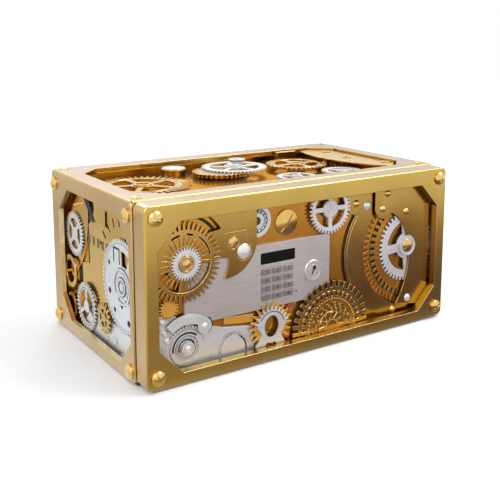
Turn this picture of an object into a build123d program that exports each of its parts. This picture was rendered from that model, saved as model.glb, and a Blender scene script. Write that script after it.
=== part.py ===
"""Motorised jewellery safe in a gold case whose walls show fixed clockwork ornament."""
from build123d import *
import math
import os

os.makedirs("parts", exist_ok=True)

# Case, in millimetres: x runs along the front, y to the back from the door line, z up from the floor
CASE_WIDTH = 560.0
CASE_TOP = 260.0
CASE_DEPTH = 304.0
FOOT_HEIGHT = 2.0
FOOT_RADIUS = 14.0
FOOT_INSET = 45.0
SHEET = 4.0
EDGE_ROUND = 3.0
PLATE_CORNER = 10.0
FIT = 0.3

# Door
DOOR_DEPTH = 34.0
DOOR_GAP = 2.5
DOOR_SIDE_INSET = 2.5
DOOR_END_INSET = 1.5
DOOR_FACE = 4.0
DOOR_WALL = 3.5
RIM_WALL = 2.5
RIM_DEPTH = 14.0
DOOR_PLATE = 4.0
DOOR_BACKING = 2.0

# Eight-sided windows: the margins are from the case edges
FRONT_WINDOW_HALF = 258.0
FRONT_WINDOW_LOW = 20.0
FRONT_WINDOW_HIGH = 233.0
FRONT_CUT_ALONG = 36.0
FRONT_CUT_UP = 38.0
SIDE_WINDOW_FRONT = 10.0
SIDE_WINDOW_BACK = 274.0
SIDE_WINDOW_LOW = 21.0
SIDE_WINDOW_HIGH = 236.0
SIDE_CUT = 38.0
TOP_WINDOW_HALF = 252.0
TOP_WINDOW_FRONT = 22.0
TOP_WINDOW_BACK = 266.0
TOP_CUT = 36.0
SIDE_RECESS = 18.0
SIDE_RIM_DEPTH = 8.0
TOP_RECESS = 19.0
BACKING = 3.0

# Inner steel cabinet
CABINET_HALF = 246.0
CABINET_LOW = 8.0
CABINET_HIGH = 236.0
CABINET_BACK = 290.0
CABINET_WALL = 4.0
BACK_SPACER = (48.0, 68.0)
LINING = 2.5
SHELF_HEIGHT = 128.0
SHELF_THICK = 5.0
SHELF_FRONT = 60.0
ANCHOR_RADIUS = 5.5
ANCHOR_SPACING_X = 300.0
ANCHOR_SPACING_Y = 160.0

# Boltwork housing behind the door plate
HOUSING_CLEARANCE = 6.0
HOUSING_DEPTH = 30.0
HOUSING_WALL = 2.0
BOLT_RADIUS = 8.0
BOLT_HEIGHTS = (62.0, 122.0, 182.0)
BOLT_MARGIN = 2.0
BOLT_TIP_PROUD = 2.0
BOLT_LENGTH = 40.0
CARRIAGE_WIDTH = 20.0
CARRIAGE_THICK = 12.0
CARRIAGE_OVERHANG = 18.0
CARRIAGE_BACK_GAP = 8.0
STRIKE_CLEARANCE = 1.2
PINION_TEETH = 16
PINION_PITCH_RADIUS = 10.0
PINION_THICK = 6.0
TOOTH_OUT = 1.1
TOOTH_IN = 1.5
RACK_TEETH = 11
RACK_BASE = 6.0
MOTOR_RADIUS = 17.0
MOTOR_LENGTH = 13.0
MOTOR_SHAFT = 2.5

# Hinges
HINGE_INSET = 7.0
HINGE_DEPTH = 9.0
KNUCKLE_RADIUS = 5.0
PIN_RADIUS = 2.5
PIN_CLEARANCE = 0.05
KNUCKLE_LENGTH = 16.0
KNUCKLE_GAP = 0.5
HINGE_HEIGHTS = (58.0, 204.0)
HINGE_NOTCH = 16.0

# Keypad panel, measured on the door
PANEL_LEFT = -208.5
PANEL_RIGHT = 47.0
PANEL_LOW = 76.5
PANEL_HIGH = 174.0
PANEL_THICK = 5.0
PANEL_CORNER = 4.0
BOARD_THICK = 1.2
KEY_COLUMNS = (-71.7, -51.7, -31.7)
KEY_ROWS = (132.1, 119.2, 106.3, 93.4)
KEY_WIDTH = 16.6
KEY_HEIGHT = 9.4
KEY_THICK = 4.0
KEY_PROUD = 1.4
DISPLAY_CENTRE = (-50.5, 152.4)
DISPLAY_SIZE = (62.4, 17.4)
DISPLAY_THICK = 2.0
DISPLAY_CORNER = 2.0
LAMP_CENTRE = (-16.5, 92.9)
LAMP_RADIUS = 1.5
LOCK_CENTRE = (14.7, 120.5)
ESCUTCHEON_RADIUS = 16.5
ESCUTCHEON_THICK = 2.0
PLUG_RADIUS = 9.0
PLUG_PROUD = 0.4
KEYWAY_WIDTH = 3.0
KEYWAY_LENGTH = 11.0
KEYWAY_DEPTH = 6.0
KEYWAY_TURN = 65.0
CAM_HALF_WIDTH = 5.0
CAM_REACH = 24.0
CAM_THICK = 3.0

# Screws and rivets
SCREW_RADIUS = 10.5
SCREW_COLLAR = 2.5
SCREW_RISE = 4.5
FLAT_SCREW_RADIUS = 7.0
FLAT_SCREW_COLLAR = 1.0
FLAT_SCREW_RISE = 2.0
SCREW_SHANK = 3.0
SCREW_HOLE_CLEARANCE = 0.1
SCREW_INSET = 16.5
DOOR_SCREW_INSET = 19.0
SLOT_WIDTH = 1.8
SLOT_DEPTH = 1.6
WIDE_SLOT = 2.6
DEEP_SLOT = 2.4
RIVET_RADIUS = 6.3
RIVET_RISE = 4.0

# Derived places
case_half = CASE_WIDTH / 2
case_low = FOOT_HEIGHT
door_half = case_half - DOOR_SIDE_INSET
door_low = case_low + DOOR_END_INSET
door_high = CASE_TOP - DOOR_END_INSET
door_front = -DOOR_DEPTH
door_back = -DOOR_GAP
door_plate_front = door_back - DOOR_PLATE
ornament_floor = door_plate_front - DOOR_BACKING
inside_half = door_half - DOOR_WALL
inside_low = door_low + DOOR_WALL
inside_high = door_high - DOOR_WALL
cabinet_inner_half = CABINET_HALF - CABINET_WALL
cabinet_inner_low = CABINET_LOW + CABINET_WALL
cabinet_inner_high = CABINET_HIGH - CABINET_WALL
housing_half = cabinet_inner_half - HOUSING_CLEARANCE
housing_low = cabinet_inner_low + HOUSING_CLEARANCE
housing_high = cabinet_inner_high - HOUSING_CLEARANCE
housing_back = door_back + HOUSING_DEPTH
bolt_depth = SHEET + BOLT_MARGIN + STRIKE_CLEARANCE + BOLT_RADIUS
top_floor = CASE_TOP - TOP_RECESS
side_floor = case_half - SIDE_RECESS
hinge_x = case_half - HINGE_INSET
hinge_y = -HINGE_DEPTH
centre_y = (CASE_DEPTH - DOOR_DEPTH) / 2
LOW = (Align.CENTER, Align.CENTER, Align.MIN)

# Faces: local x to the right and y up as seen from outside, local z outwards
FRONT = Plane(origin=(0, ornament_floor, 0), x_dir=(1, 0, 0), z_dir=(0, -1, 0))
LEFT = Plane(origin=(-side_floor, 0, 0), x_dir=(0, -1, 0), z_dir=(-1, 0, 0))
RIGHT = Plane(origin=(side_floor, 0, 0), x_dir=(0, 1, 0), z_dir=(1, 0, 0))
TOP = Plane(origin=(0, 0, top_floor), x_dir=(1, 0, 0), z_dir=(0, 0, 1))


def save(name, shapes):
    """Write a node with the origin under the middle of the case."""
    moved = [Pos(0, -centre_y, 0) * shape for shape in shapes]
    solids = [solid for shape in moved for solid in shape.solids()]
    part = solids[0] if len(solids) == 1 else Compound(solids)
    part.label = name
    export_step(part, f"parts/{name}.step")


def block(x0, x1, y0, y1, z0, z1):
    """Box between two corners."""
    return Pos((x0 + x1) / 2, (y0 + y1) / 2, (z0 + z1) / 2) * Box(x1 - x0, y1 - y0, z1 - z0)


def polar(radius, angle):
    """Point at an angle in degrees."""
    return radius * math.cos(math.radians(angle)), radius * math.sin(math.radians(angle))


def slab(points, low, high):
    """Straight-edged plate between two levels."""
    return Pos(0, 0, low) * extrude(make_face(Polyline(*points, close=True)), high - low)


def disc(centre, radius, low, high):
    """Round plate between two levels."""
    return Pos(centre[0], centre[1], low) * Cylinder(radius, high - low, align=LOW)


def ring(centre, outer, inner, low, high):
    """Flat ring between two levels."""
    return disc(centre, outer, low, high) - disc(centre, inner, low, high)


def rounded(x0, x1, y0, y1, corner, low, high):
    """Rectangular plate with round corners."""
    shape = RectangleRounded(x1 - x0, y1 - y0, corner)
    return Pos((x0 + x1) / 2, (y0 + y1) / 2, low) * extrude(shape, high - low)


def toothed(centre, teeth, tip, root, low, high, land=0.3, foot=0.7):
    """Gear blank: land and foot are the tooth's shares of one pitch."""
    points = []
    for number in range(teeth):
        for radius, share in ((root, -foot), (tip, -land), (tip, land), (root, foot)):
            points.append(polar(radius, (number + share / 2) * 360 / teeth))
    return Pos(centre[0], centre[1], low) * extrude(make_face(Polyline(*points, close=True)), high - low)


def spoke_gaps(centre, count, inner, outer, spoke, low, high, turn=0):
    """Openings between the spokes of a gear."""
    gaps = ring(centre, outer, inner, low, high)
    for number in range(count):
        bar = Pos(outer / 2, 0, 0) * Box(outer, spoke, high - low, align=LOW)
        gaps -= Pos(centre[0], centre[1], low) * Rot(0, 0, turn + number * 360 / count) * bar
    return gaps


def arc_band(centre, outer, inner, low, high, start, end):
    """Part of a flat ring between two angles less than 120 degrees apart."""
    wedge = [centre]
    for share in (0, 0.5, 1):
        across, up = polar(2.5 * outer, start + (end - start) * share)
        wedge.append((centre[0] + across, centre[1] + up))
    return ring(centre, outer, inner, low, high) & slab(wedge, low, high)


def dome(centre, radius, rise, base):
    """Rounded head standing on a level."""
    ball = (radius * radius + rise * rise) / (2 * rise)
    cap = Pos(0, 0, rise - ball) * Sphere(ball)
    cap &= Cylinder(radius, rise, align=LOW)
    return Pos(centre[0], centre[1], base) * cap


def slotted(centre, radius, rise, base, turn, width=SLOT_WIDTH, depth=SLOT_DEPTH):
    """Domed head with a screwdriver slot."""
    slot = Pos(0, 0, rise - depth) * Rot(0, 0, turn) * Box(2 * radius, width, rise, align=LOW)
    return dome(centre, radius, rise, base) - Pos(centre[0], centre[1], base) * slot


def corner_screw(centre, base, turn, grip, radius=SCREW_RADIUS, collar=SCREW_COLLAR, rise=SCREW_RISE):
    """Corner screw of a plate: slotted dome on a collar, and shank."""
    head = slotted(centre, radius, rise, base + collar, turn) + disc(centre, radius, base, base + collar)
    return head + disc(centre, SCREW_SHANK, base - grip, base)


def screw_hole(spot, thick):
    """Hole of a corner screw through a plate whose outer face is at level 0."""
    return disc(spot, SCREW_SHANK + SCREW_HOLE_CLEARANCE, -thick, 0)


def octagon(x0, x1, y0, y1, along, up):
    """Window outline with four cut corners."""
    return [(x0 + along, y0), (x1 - along, y0), (x1, y0 + up), (x1, y1 - up),
            (x1 - along, y1), (x0 + along, y1), (x0, y1 - up), (x0, y0 + up)]


def framed(width0, width1, low, high, window, thick, rim_depth):
    """Plate with round corners, an eight-sided window and a rim wall behind it, outer face at level 0."""
    plate = rounded(width0, width1, low, high, PLATE_CORNER, -thick, 0)
    front_edges = plate.edges().group_by(Axis.Z)[-1]
    plate = fillet(front_edges, EDGE_ROUND)
    opening = make_face(Polyline(*window, close=True))
    rim = offset(opening, RIM_WALL, kind=Kind.INTERSECTION)
    plate += Pos(0, 0, -rim_depth) * extrude(rim, rim_depth - thick)
    plate -= Pos(0, 0, -rim_depth) * extrude(opening, rim_depth + thick)
    return plate


def door_room(shape, low=0.0, high=30.0):
    """Keep only what fits inside the door walls."""
    hinge_side = hinge_x - HINGE_NOTCH + KNUCKLE_RADIUS - FIT
    return shape & block(-inside_half + FIT, hinge_side, inside_low + FIT, inside_high - FIT, low, high)


# Hollow behind the side and top windows
case_room_front = SHEET + FIT
case_room_back = CASE_DEPTH - SHEET - FIT
room_low = case_low + SHEET + FIT
room_high = CASE_TOP - SHEET - FIT
top_room_half = case_half - SIDE_RECESS - BACKING - FIT


def side_room(shape, sign):
    """Keep only what fits between the case plates, on a side face."""
    ends = sorted((sign * case_room_front, sign * case_room_back))
    return shape & block(ends[0], ends[1], room_low, room_high, 0, SIDE_RECESS - SHEET)


def top_room(shape):
    """Keep only what fits between the case plates, on the top."""
    return shape & block(-top_room_half, top_room_half, case_room_front, case_room_back,
                         0, TOP_RECESS - SHEET)


# Case plates
def framed_side(face):
    """Side plate with its window, the same from outside on both sides."""
    sign = -1 if face is LEFT else 1
    ends = sorted((sign * 0.0, sign * CASE_DEPTH))
    cuts = sorted((sign * SIDE_WINDOW_FRONT, sign * SIDE_WINDOW_BACK))
    window = octagon(cuts[0], cuts[1], SIDE_WINDOW_LOW, SIDE_WINDOW_HIGH, SIDE_CUT, SIDE_CUT)
    plate = framed(ends[0], ends[1], case_low, CASE_TOP, window, SHEET, SIDE_RIM_DEPTH)
    holes = [screw_hole(spot, SHEET) for spot in side_screw_spots(sign)]
    return face * (Pos(0, 0, SIDE_RECESS) * (plate - holes))


def side_screw_spots(sign):
    """Corner screws of a side plate, in that face's own plane."""
    return [(sign * depth, height) for depth in (SCREW_INSET - 3, CASE_DEPTH - SCREW_INSET)
            for height in (case_low + SCREW_INSET, CASE_TOP - SCREW_INSET - 5)]


def flat_screw_spots(front, back):
    """Corner screws of the top or back plate."""
    reach = case_half - SCREW_INSET
    return [(side * reach, place) for side in (-1, 1) for place in (front, back)]


top_screw_spots = flat_screw_spots(SCREW_INSET, CASE_DEPTH - SCREW_INSET)
back_screw_spots = flat_screw_spots(case_low + SCREW_INSET, CASE_TOP - SCREW_INSET - 5)
TOP_FACE = Plane(origin=(0, 0, CASE_TOP), x_dir=(1, 0, 0), z_dir=(0, 0, 1))
BACK_FACE = Plane(origin=(0, CASE_DEPTH, 0), x_dir=(-1, 0, 0), z_dir=(0, 1, 0))
DOOR_SURFACE = Plane(origin=(0, door_front, 0), x_dir=(1, 0, 0), z_dir=(0, -1, 0))
plate_half = case_half - SHEET


def case_plates():
    """Top, back and base plates between the two side plates."""
    window = octagon(-TOP_WINDOW_HALF, TOP_WINDOW_HALF, TOP_WINDOW_FRONT, TOP_WINDOW_BACK, TOP_CUT, TOP_CUT)
    top = block(-plate_half, plate_half, 0, CASE_DEPTH, -SHEET, 0)
    top = fillet(top.edges().group_by(Axis.Z)[-1].filter_by(Axis.X), EDGE_ROUND)
    opening = make_face(Polyline(*window, close=True))
    rim = offset(opening, RIM_WALL, kind=Kind.INTERSECTION)
    top += Pos(0, 0, -SIDE_RIM_DEPTH) * extrude(rim, SIDE_RIM_DEPTH - SHEET)
    top -= Pos(0, 0, -SIDE_RIM_DEPTH) * extrude(opening, SIDE_RIM_DEPTH + SHEET)
    top -= [screw_hole(spot, SHEET) for spot in top_screw_spots]
    save("top_frame", [TOP_FACE * top])
    back = block(-plate_half, plate_half, case_low + SHEET, CASE_TOP - SHEET, -SHEET, 0)
    back -= [screw_hole(spot, SHEET) for spot in back_screw_spots]
    save("back_panel", [BACK_FACE * back])
    base = block(-plate_half, plate_half, 0, CASE_DEPTH, case_low, case_low + SHEET)
    save("base_plate", [base - anchor_holes(0, CASE_TOP)])


def anchor_holes(low, high):
    """Four holes for anchor bolts through the floor."""
    holes = []
    for along in (-1, 1):
        for deep in (-1, 1):
            spot = (along * ANCHOR_SPACING_X / 2, CASE_DEPTH / 2 + deep * ANCHOR_SPACING_Y / 2)
            holes.append(disc(spot, ANCHOR_RADIUS, low, high))
    return holes


case_plates()
save("left_frame", [framed_side(LEFT)])
save("right_frame", [framed_side(RIGHT)])
feet = []
for along in (-1, 1):
    for deep in (FOOT_INSET, CASE_DEPTH - FOOT_INSET):
        feet.append(disc((along * (case_half - FOOT_INSET), deep), FOOT_RADIUS, 0, FOOT_HEIGHT))
save("feet", feet)
screws = []
for face, sign in ((LEFT, -1), (RIGHT, 1)):
    for count, spot in enumerate(side_screw_spots(sign)):
        screws.append(face * corner_screw(spot, SIDE_RECESS, 35 + 50 * count, SHEET))
for face, spots in ((TOP_FACE, top_screw_spots), (BACK_FACE, back_screw_spots)):
    for count, spot in enumerate(spots):
        screws.append(face * corner_screw(spot, 0, 75 + 50 * count, SHEET, FLAT_SCREW_RADIUS,
                                          FLAT_SCREW_COLLAR, FLAT_SCREW_RISE))
save("case_screws", screws)

# Walls behind the ornament
inner_reach = side_floor - BACKING
backings = [block(near, far, SHEET, CASE_DEPTH - SHEET, case_low + SHEET, CASE_TOP - SHEET)
            for near, far in ((-side_floor, -inner_reach), (inner_reach, side_floor))]
backings.append(block(-inner_reach, inner_reach, SHEET, CASE_DEPTH - SHEET, top_floor - BACKING, top_floor))
save("ornament_backings", backings)

# Front jamb and inner cabinet
jamb = block(-plate_half, plate_half, 0, SHEET, case_low + SHEET, CASE_TOP - SHEET)
jamb -= block(-cabinet_inner_half, cabinet_inner_half, 0, SHEET, cabinet_inner_low, cabinet_inner_high)
save("front_jamb", [jamb])


def cabinet_plates():
    """Welded plates of the inner cabinet, with a square strike hole for each bolt in the left wall."""
    across = (-CABINET_HALF, CABINET_HALF)
    left = (-CABINET_HALF, -cabinet_inner_half)
    inner_height = (cabinet_inner_low, cabinet_inner_high)
    wall_back = CABINET_BACK - CABINET_WALL
    strike_half = BOLT_RADIUS + STRIKE_CLEARANCE
    strike_depth = (bolt_depth - strike_half, bolt_depth + strike_half)
    plates = [block(*across, SHEET, CABINET_BACK, cabinet_inner_high, CABINET_HIGH),
              block(*across, wall_back, CABINET_BACK, *inner_height),
              block(cabinet_inner_half, CABINET_HALF, SHEET, wall_back, *inner_height),
              block(*left, SHEET, strike_depth[0], *inner_height),
              block(*left, strike_depth[1], wall_back, *inner_height)]
    lower_edges = [cabinet_inner_low] + [height + strike_half for height in BOLT_HEIGHTS]
    upper_edges = [height - strike_half for height in BOLT_HEIGHTS] + [cabinet_inner_high]
    for low, high in zip(lower_edges, upper_edges):
        plates.append(block(*left, *strike_depth, low, high))
    plates.append(block(*across, CABINET_BACK, CASE_DEPTH - SHEET, *BACK_SPACER))
    floor = block(*across, SHEET, CABINET_BACK, CABINET_LOW, cabinet_inner_low)
    spacer = block(*across, FOOT_INSET, CABINET_BACK - FOOT_INSET, case_low + SHEET, CABINET_LOW)
    plates += [floor - anchor_holes(0, SHELF_HEIGHT), spacer - anchor_holes(0, SHELF_HEIGHT)]
    return plates


save("inner_cabinet", cabinet_plates())
lining_front = housing_back + HOUSING_CLEARANCE
lined_half = cabinet_inner_half - LINING
lining = block(-cabinet_inner_half, cabinet_inner_half, lining_front, CABINET_BACK - CABINET_WALL,
               cabinet_inner_low, cabinet_inner_high)
lining -= block(-lined_half, lined_half, lining_front, CABINET_BACK - CABINET_WALL - LINING,
                cabinet_inner_low + LINING, cabinet_inner_high - LINING)
save("lining", [lining - anchor_holes(0, SHELF_HEIGHT / 2)])
shelf = block(-lined_half, lined_half, SHELF_FRONT, CABINET_BACK - CABINET_WALL - LINING,
              SHELF_HEIGHT, SHELF_HEIGHT + SHELF_THICK)
shelf += block(-lined_half, lined_half, SHELF_FRONT, SHELF_FRONT + SHELF_THICK,
               SHELF_HEIGHT - SHELF_THICK, SHELF_HEIGHT)
save("shelf", [shelf])

# Door shell
door_window = octagon(-FRONT_WINDOW_HALF, FRONT_WINDOW_HALF, FRONT_WINDOW_LOW, FRONT_WINDOW_HIGH,
                      FRONT_CUT_ALONG, FRONT_CUT_UP)
door_screw_spots = [(side * (case_half - DOOR_SCREW_INSET), height) for side in (-1, 1)
                    for height in (case_low + DOOR_SCREW_INSET, CASE_TOP - DOOR_SCREW_INSET)]


def hinge_notches(back, front):
    """Room for the knuckles in the hinge edge of the door."""
    reach = 1.5 * KNUCKLE_LENGTH + 2 * KNUCKLE_GAP
    edge = hinge_x - HINGE_NOTCH + KNUCKLE_RADIUS
    return [block(edge, case_half, front, back, height - reach, height + reach) for height in HINGE_HEIGHTS]


shell = framed(-door_half, door_half, door_low, door_high, door_window, DOOR_FACE, RIM_DEPTH)
wall = rounded(-door_half, door_half, door_low, door_high, PLATE_CORNER, door_front - door_back, -DOOR_FACE)
wall -= rounded(-inside_half, inside_half, inside_low, inside_high, PLATE_CORNER - DOOR_WALL,
                door_front - door_back, -DOOR_FACE)
shell -= [screw_hole(spot, DOOR_FACE) for spot in door_screw_spots]
notches = hinge_notches(0, hinge_y - KNUCKLE_RADIUS - 2)
save("door_frame", [DOOR_SURFACE * (shell + wall) - notches])
backing = rounded(-inside_half, inside_half, inside_low, inside_high, PLATE_CORNER - DOOR_WALL,
                  -DOOR_BACKING, 0)
lock_hole = disc(LOCK_CENTRE, PLUG_RADIUS + 1, -BACKING - DOOR_PLATE, 0)
save("backing_plate", [FRONT * (backing - lock_hole) - notches])
door_plate = rounded(-inside_half, inside_half, inside_low, inside_high, PLATE_CORNER - DOOR_WALL,
                     -DOOR_BACKING - DOOR_PLATE, -DOOR_BACKING)
save("door_plate", [FRONT * (door_plate - lock_hole) - notches])

# Keypad panel
BIG_GEAR = (-210.0, 169.0)
BIG_POST = 8.0
panel = rounded(PANEL_LEFT, PANEL_RIGHT, PANEL_LOW, PANEL_HIGH, PANEL_CORNER, 0, PANEL_THICK)
key_back = PANEL_THICK + KEY_PROUD - KEY_THICK
pocket_low = PANEL_THICK - 2.5
board_box = (KEY_COLUMNS[0] - KEY_WIDTH, KEY_COLUMNS[2] + KEY_WIDTH, KEY_ROWS[3] - KEY_HEIGHT,
             DISPLAY_CENTRE[1] + DISPLAY_SIZE[1] / 2 + 3)
panel -= block(*board_box, 0, pocket_low)
for column in KEY_COLUMNS:
    for row in KEY_ROWS:
        panel -= block(column - KEY_WIDTH / 2 - FIT, column + KEY_WIDTH / 2 + FIT,
                       row - KEY_HEIGHT / 2 - FIT, row + KEY_HEIGHT / 2 + FIT, 0, PANEL_THICK)
display_box = (DISPLAY_CENTRE[0] - DISPLAY_SIZE[0] / 2, DISPLAY_CENTRE[0] + DISPLAY_SIZE[0] / 2,
               DISPLAY_CENTRE[1] - DISPLAY_SIZE[1] / 2, DISPLAY_CENTRE[1] + DISPLAY_SIZE[1] / 2)
panel -= rounded(*display_box, DISPLAY_CORNER, 0, PANEL_THICK)
panel -= disc(LAMP_CENTRE, LAMP_RADIUS, 0, PANEL_THICK)
panel -= disc(LOCK_CENTRE, PLUG_RADIUS + 1, 0, PANEL_THICK)
panel -= disc(BIG_GEAR, BIG_POST + FIT, 0, PANEL_THICK)
save("steel_panel", [FRONT * panel])
screen = rounded(*display_box, DISPLAY_CORNER, PANEL_THICK - DISPLAY_THICK, PANEL_THICK)
save("display_window", [FRONT * screen, FRONT * disc(LAMP_CENTRE, LAMP_RADIUS, pocket_low, PANEL_THICK)])
board = block(board_box[0] + FIT, board_box[1] - FIT, board_box[2] + FIT, board_box[3] - FIT, 0, BOARD_THICK)
save("keypad_board", [FRONT * board])
number = 0
for row in KEY_ROWS:
    for column in KEY_COLUMNS:
        number += 1
        key = rounded(column - KEY_WIDTH / 2, column + KEY_WIDTH / 2, row - KEY_HEIGHT / 2,
                      row + KEY_HEIGHT / 2, 1.5, key_back, PANEL_THICK + KEY_PROUD)
        key = fillet(key.edges().group_by(Axis.Z)[-1], 0.6)
        save(f"key_{number}", [FRONT * key])

# Key override lock
escutcheon = ring(LOCK_CENTRE, ESCUTCHEON_RADIUS, PLUG_RADIUS + PIN_CLEARANCE, PANEL_THICK,
                  PANEL_THICK + ESCUTCHEON_THICK)
escutcheon = chamfer(escutcheon.edges().group_by(Axis.Z)[-1].sort_by(SortBy.LENGTH)[-1], 1.0)
save("lock_escutcheon", [FRONT * escutcheon])
plug_back = ornament_floor - door_back - 8
plug_front = PANEL_THICK + ESCUTCHEON_THICK + PLUG_PROUD
plug = disc(LOCK_CENTRE, PLUG_RADIUS, plug_back, plug_front)
keyway = Rot(0, 0, KEYWAY_TURN) * Box(KEYWAY_LENGTH, KEYWAY_WIDTH, KEYWAY_DEPTH, align=LOW)
plug -= Pos(LOCK_CENTRE[0], LOCK_CENTRE[1], plug_front - KEYWAY_DEPTH) * keyway
cam = block(LOCK_CENTRE[0] - CAM_HALF_WIDTH, LOCK_CENTRE[0] + CAM_HALF_WIDTH,
            LOCK_CENTRE[1] - CAM_REACH, LOCK_CENTRE[1] + CAM_HALF_WIDTH, plug_back - CAM_THICK, plug_back)
save("key_plug", [FRONT * plug, FRONT * cam])


# Ornament behind the door window: each piece stands on the backing on its own post
# The levels below are heights above the backing
POST_FIT = 0.3
BIG_GEAR_LEVEL = 7.5
BIG_GEAR_GAP = 41.5
BIG_GEAR_GAPS = ((27, 196, 256), (27, 277, 352), (38.5, 70, 84), (38.5, 100, 120), (39.7, 8, 55))
SPIKED_LEVEL = 10.0
TOOTHED_DISC_LEVEL = 12.0
BIG_HUB_LEVEL = 14.5
BRACKET_LEVEL = 5.3
BRACKET_TOP = 7.2
BRACKET_POSTS = ((-130, 186), (-118, 226))
BEARING_CENTRE = (-87.5, 210.5)
SILVER_GEAR = (45.0, 213.0)
SILVER_GEAR_LEVEL = 6.0
RING_CENTRE = (190.0, 129.0)
RING_EYE = (216.0, 129.5)
RING_EYE_RADIUS = 99.5
HALF_GEAR = (207.5, 131.5)
HALF_GEAR_LEVEL = 5.5
HALF_HUB_TOP = 10.9
COVER_LEVEL = 9.0
COVER_TOP = 11.0
COVER_POSTS = ((228, 68), (242, 190), (143, 232))
TAB_LEVEL = 4.0
TAB_TOP = 5.8
POST_RADIUS = 5.0
ORNATE_GEAR = (49.0, 24.0)
ORNATE_LEVEL = 6.0
EYE_GEAR = (-64.5, 48.5)
EYE_FEET = ((-85.5, 22), (-48.5, 20))
EYE_LEVEL = 7.2
EYE_TOP = 10.2
ROTOR = (-205.0, 44.0)
ROTOR_LEVEL = 5.5
ROTOR_TOP = 8.0
BRIDGE_TOP = 3.0
WEIGHT_END = (-178, 72)
WEIGHT_FEET = ((-181, 67), (-229, 79.6))
SMALL_GEAR_POST = (-226, 110)
BIG_SCREW = (-33, 201)


def big_gear_stack():
    """Large gold spoked gear with a spiked gear, a silver toothed disc and a gold hub on it."""
    gear = toothed(BIG_GEAR, 44, 57, 46.5, BIG_GEAR_LEVEL, SPIKED_LEVEL, 0.3, 0.6)
    for inner, start, end in BIG_GEAR_GAPS:
        gear -= arc_band(BIG_GEAR, BIG_GEAR_GAP, inner, BIG_GEAR_LEVEL, SPIKED_LEVEL, start, end)
    gear += disc(BIG_GEAR, BIG_POST, 0, BIG_GEAR_LEVEL)
    save("spoked_gear", [FRONT * door_room(gear)])
    spiked = toothed(BIG_GEAR, 28, 38, 25, SPIKED_LEVEL, TOOTHED_DISC_LEVEL, 0.06, 0.45)
    save("spiked_gear", [FRONT * spiked])
    silver = toothed(BIG_GEAR, 30, 23, 19.5, TOOTHED_DISC_LEVEL, BIG_HUB_LEVEL, 0.4, 0.6)
    save("toothed_disc", [FRONT * silver])


def bracket():
    """Engraved gold bracket beside the large gear, on two posts."""
    outline = Polyline((-90, 178.5), (-90, 250), (-183, 250), (-183, 237)) \
        + ThreePointArc((-183, 237), (-165, 226), (-150, 208)) \
        + Polyline((-150, 208), (-174, 205), (-169, 169), (-137, 164)) \
        + ThreePointArc((-137, 164), (-139, 148), (-146, 134.5)) \
        + ThreePointArc((-146, 134.5), (-107, 148), (-90, 178.5))
    plate = Pos(0, 0, BRACKET_LEVEL) * extrude(make_face(outline), BRACKET_TOP - BRACKET_LEVEL)
    step = slab([(-148, 201), (-108.2, 201), (-108.2, 181), (-107, 181), (-107, 202.2), (-148, 202.2)],
                BRACKET_TOP - 0.8, BRACKET_TOP)
    posts = [disc(post, POST_RADIUS, 0, BRACKET_LEVEL) for post in BRACKET_POSTS]
    save("bracket_plate", [FRONT * door_room(plate - step + posts)])


def bearing():
    """Silver ball race seen beside the bracket."""
    races = [ring(BEARING_CENTRE, 24, 18, 0, 5), ring(BEARING_CENTRE, 12, 6, 0, 5),
             ring(BEARING_CENTRE, 17.5, 12.5, 0, 3)]
    save("bearing", [FRONT * race for race in races])


def silver_spoked_gear():
    """Silver gear with four spokes, cut off by the top of the window."""
    gear = toothed(SILVER_GEAR, 38, 39, 34.5, SILVER_GEAR_LEVEL, 8.5, 0.35, 0.6)
    gear -= spoke_gaps(SILVER_GEAR, 4, 14, 29, 7, SILVER_GEAR_LEVEL, 8.5, 0)
    gear += disc(SILVER_GEAR, 13, 8.5, 9.6)
    gear += disc(SILVER_GEAR, 7, 9.6, 10.6)
    gear += disc(SILVER_GEAR, 6, 0, SILVER_GEAR_LEVEL)
    save("silver_spoked_gear", [FRONT * door_room(gear)])


def ring_group():
    """Crescent ring plate, two toothed rings in its eye, half gear and cover plate on the hinge side."""
    post_holes = [disc(post, POST_RADIUS + POST_FIT, 0, 5) for post in COVER_POSTS]
    plate = disc(RING_CENTRE, 112, 0, 4) - disc(RING_EYE, RING_EYE_RADIUS, 0, 4) - post_holes
    save("ring_plate", [FRONT * door_room(plate)])
    spikes = toothed(RING_EYE, 64, RING_EYE_RADIUS - 1.5, 88, 0, 3, 0.1, 0.8) - disc(RING_EYE, 85, 0, 3)
    crown = toothed(RING_EYE, 48, 84, 75, 0, 4.5, 0.48, 0.52) - disc(RING_EYE, 40, 0, 4.5)
    save("ring_gear", [FRONT * door_room(spikes - post_holes), FRONT * door_room(crown - post_holes)])
    half = toothed(HALF_GEAR, 46, 59, 53.5, HALF_GEAR_LEVEL, 8, 0.4, 0.6)
    half -= spoke_gaps(HALF_GEAR, 4, 22, 42, 14, HALF_GEAR_LEVEL, 8, 5)
    half += disc(HALF_GEAR, 17, HALF_GEAR_LEVEL, HALF_HUB_TOP)
    half += disc(HALF_GEAR, 8, 0, HALF_GEAR_LEVEL)
    save("half_gear", [FRONT * door_room(half)])
    outline = Polyline((254, 24), (254, 250), (135, 250), (135, 198)) \
        + ThreePointArc((135, 198), (150, 184), (169.5, 192)) \
        + ThreePointArc((169.5, 192), (199, 165), (209.5, 131)) \
        + ThreePointArc((209.5, 131), (207, 84), (184, 36)) \
        + Line((184, 36), (254, 24))
    cover = Pos(0, 0, COVER_LEVEL) * extrude(make_face(outline), COVER_TOP - COVER_LEVEL)
    cover -= disc(HALF_GEAR, 17.4, COVER_LEVEL, COVER_TOP)
    cover += [disc(post, POST_RADIUS, 0, COVER_LEVEL) for post in COVER_POSTS]
    tab = slab([(73, 250), (73, 224), (87, 198), (133, 190), (134, 250)], TAB_LEVEL, TAB_TOP)
    save("cover_plate", [FRONT * door_room(cover), FRONT * door_room(tab)])


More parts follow.
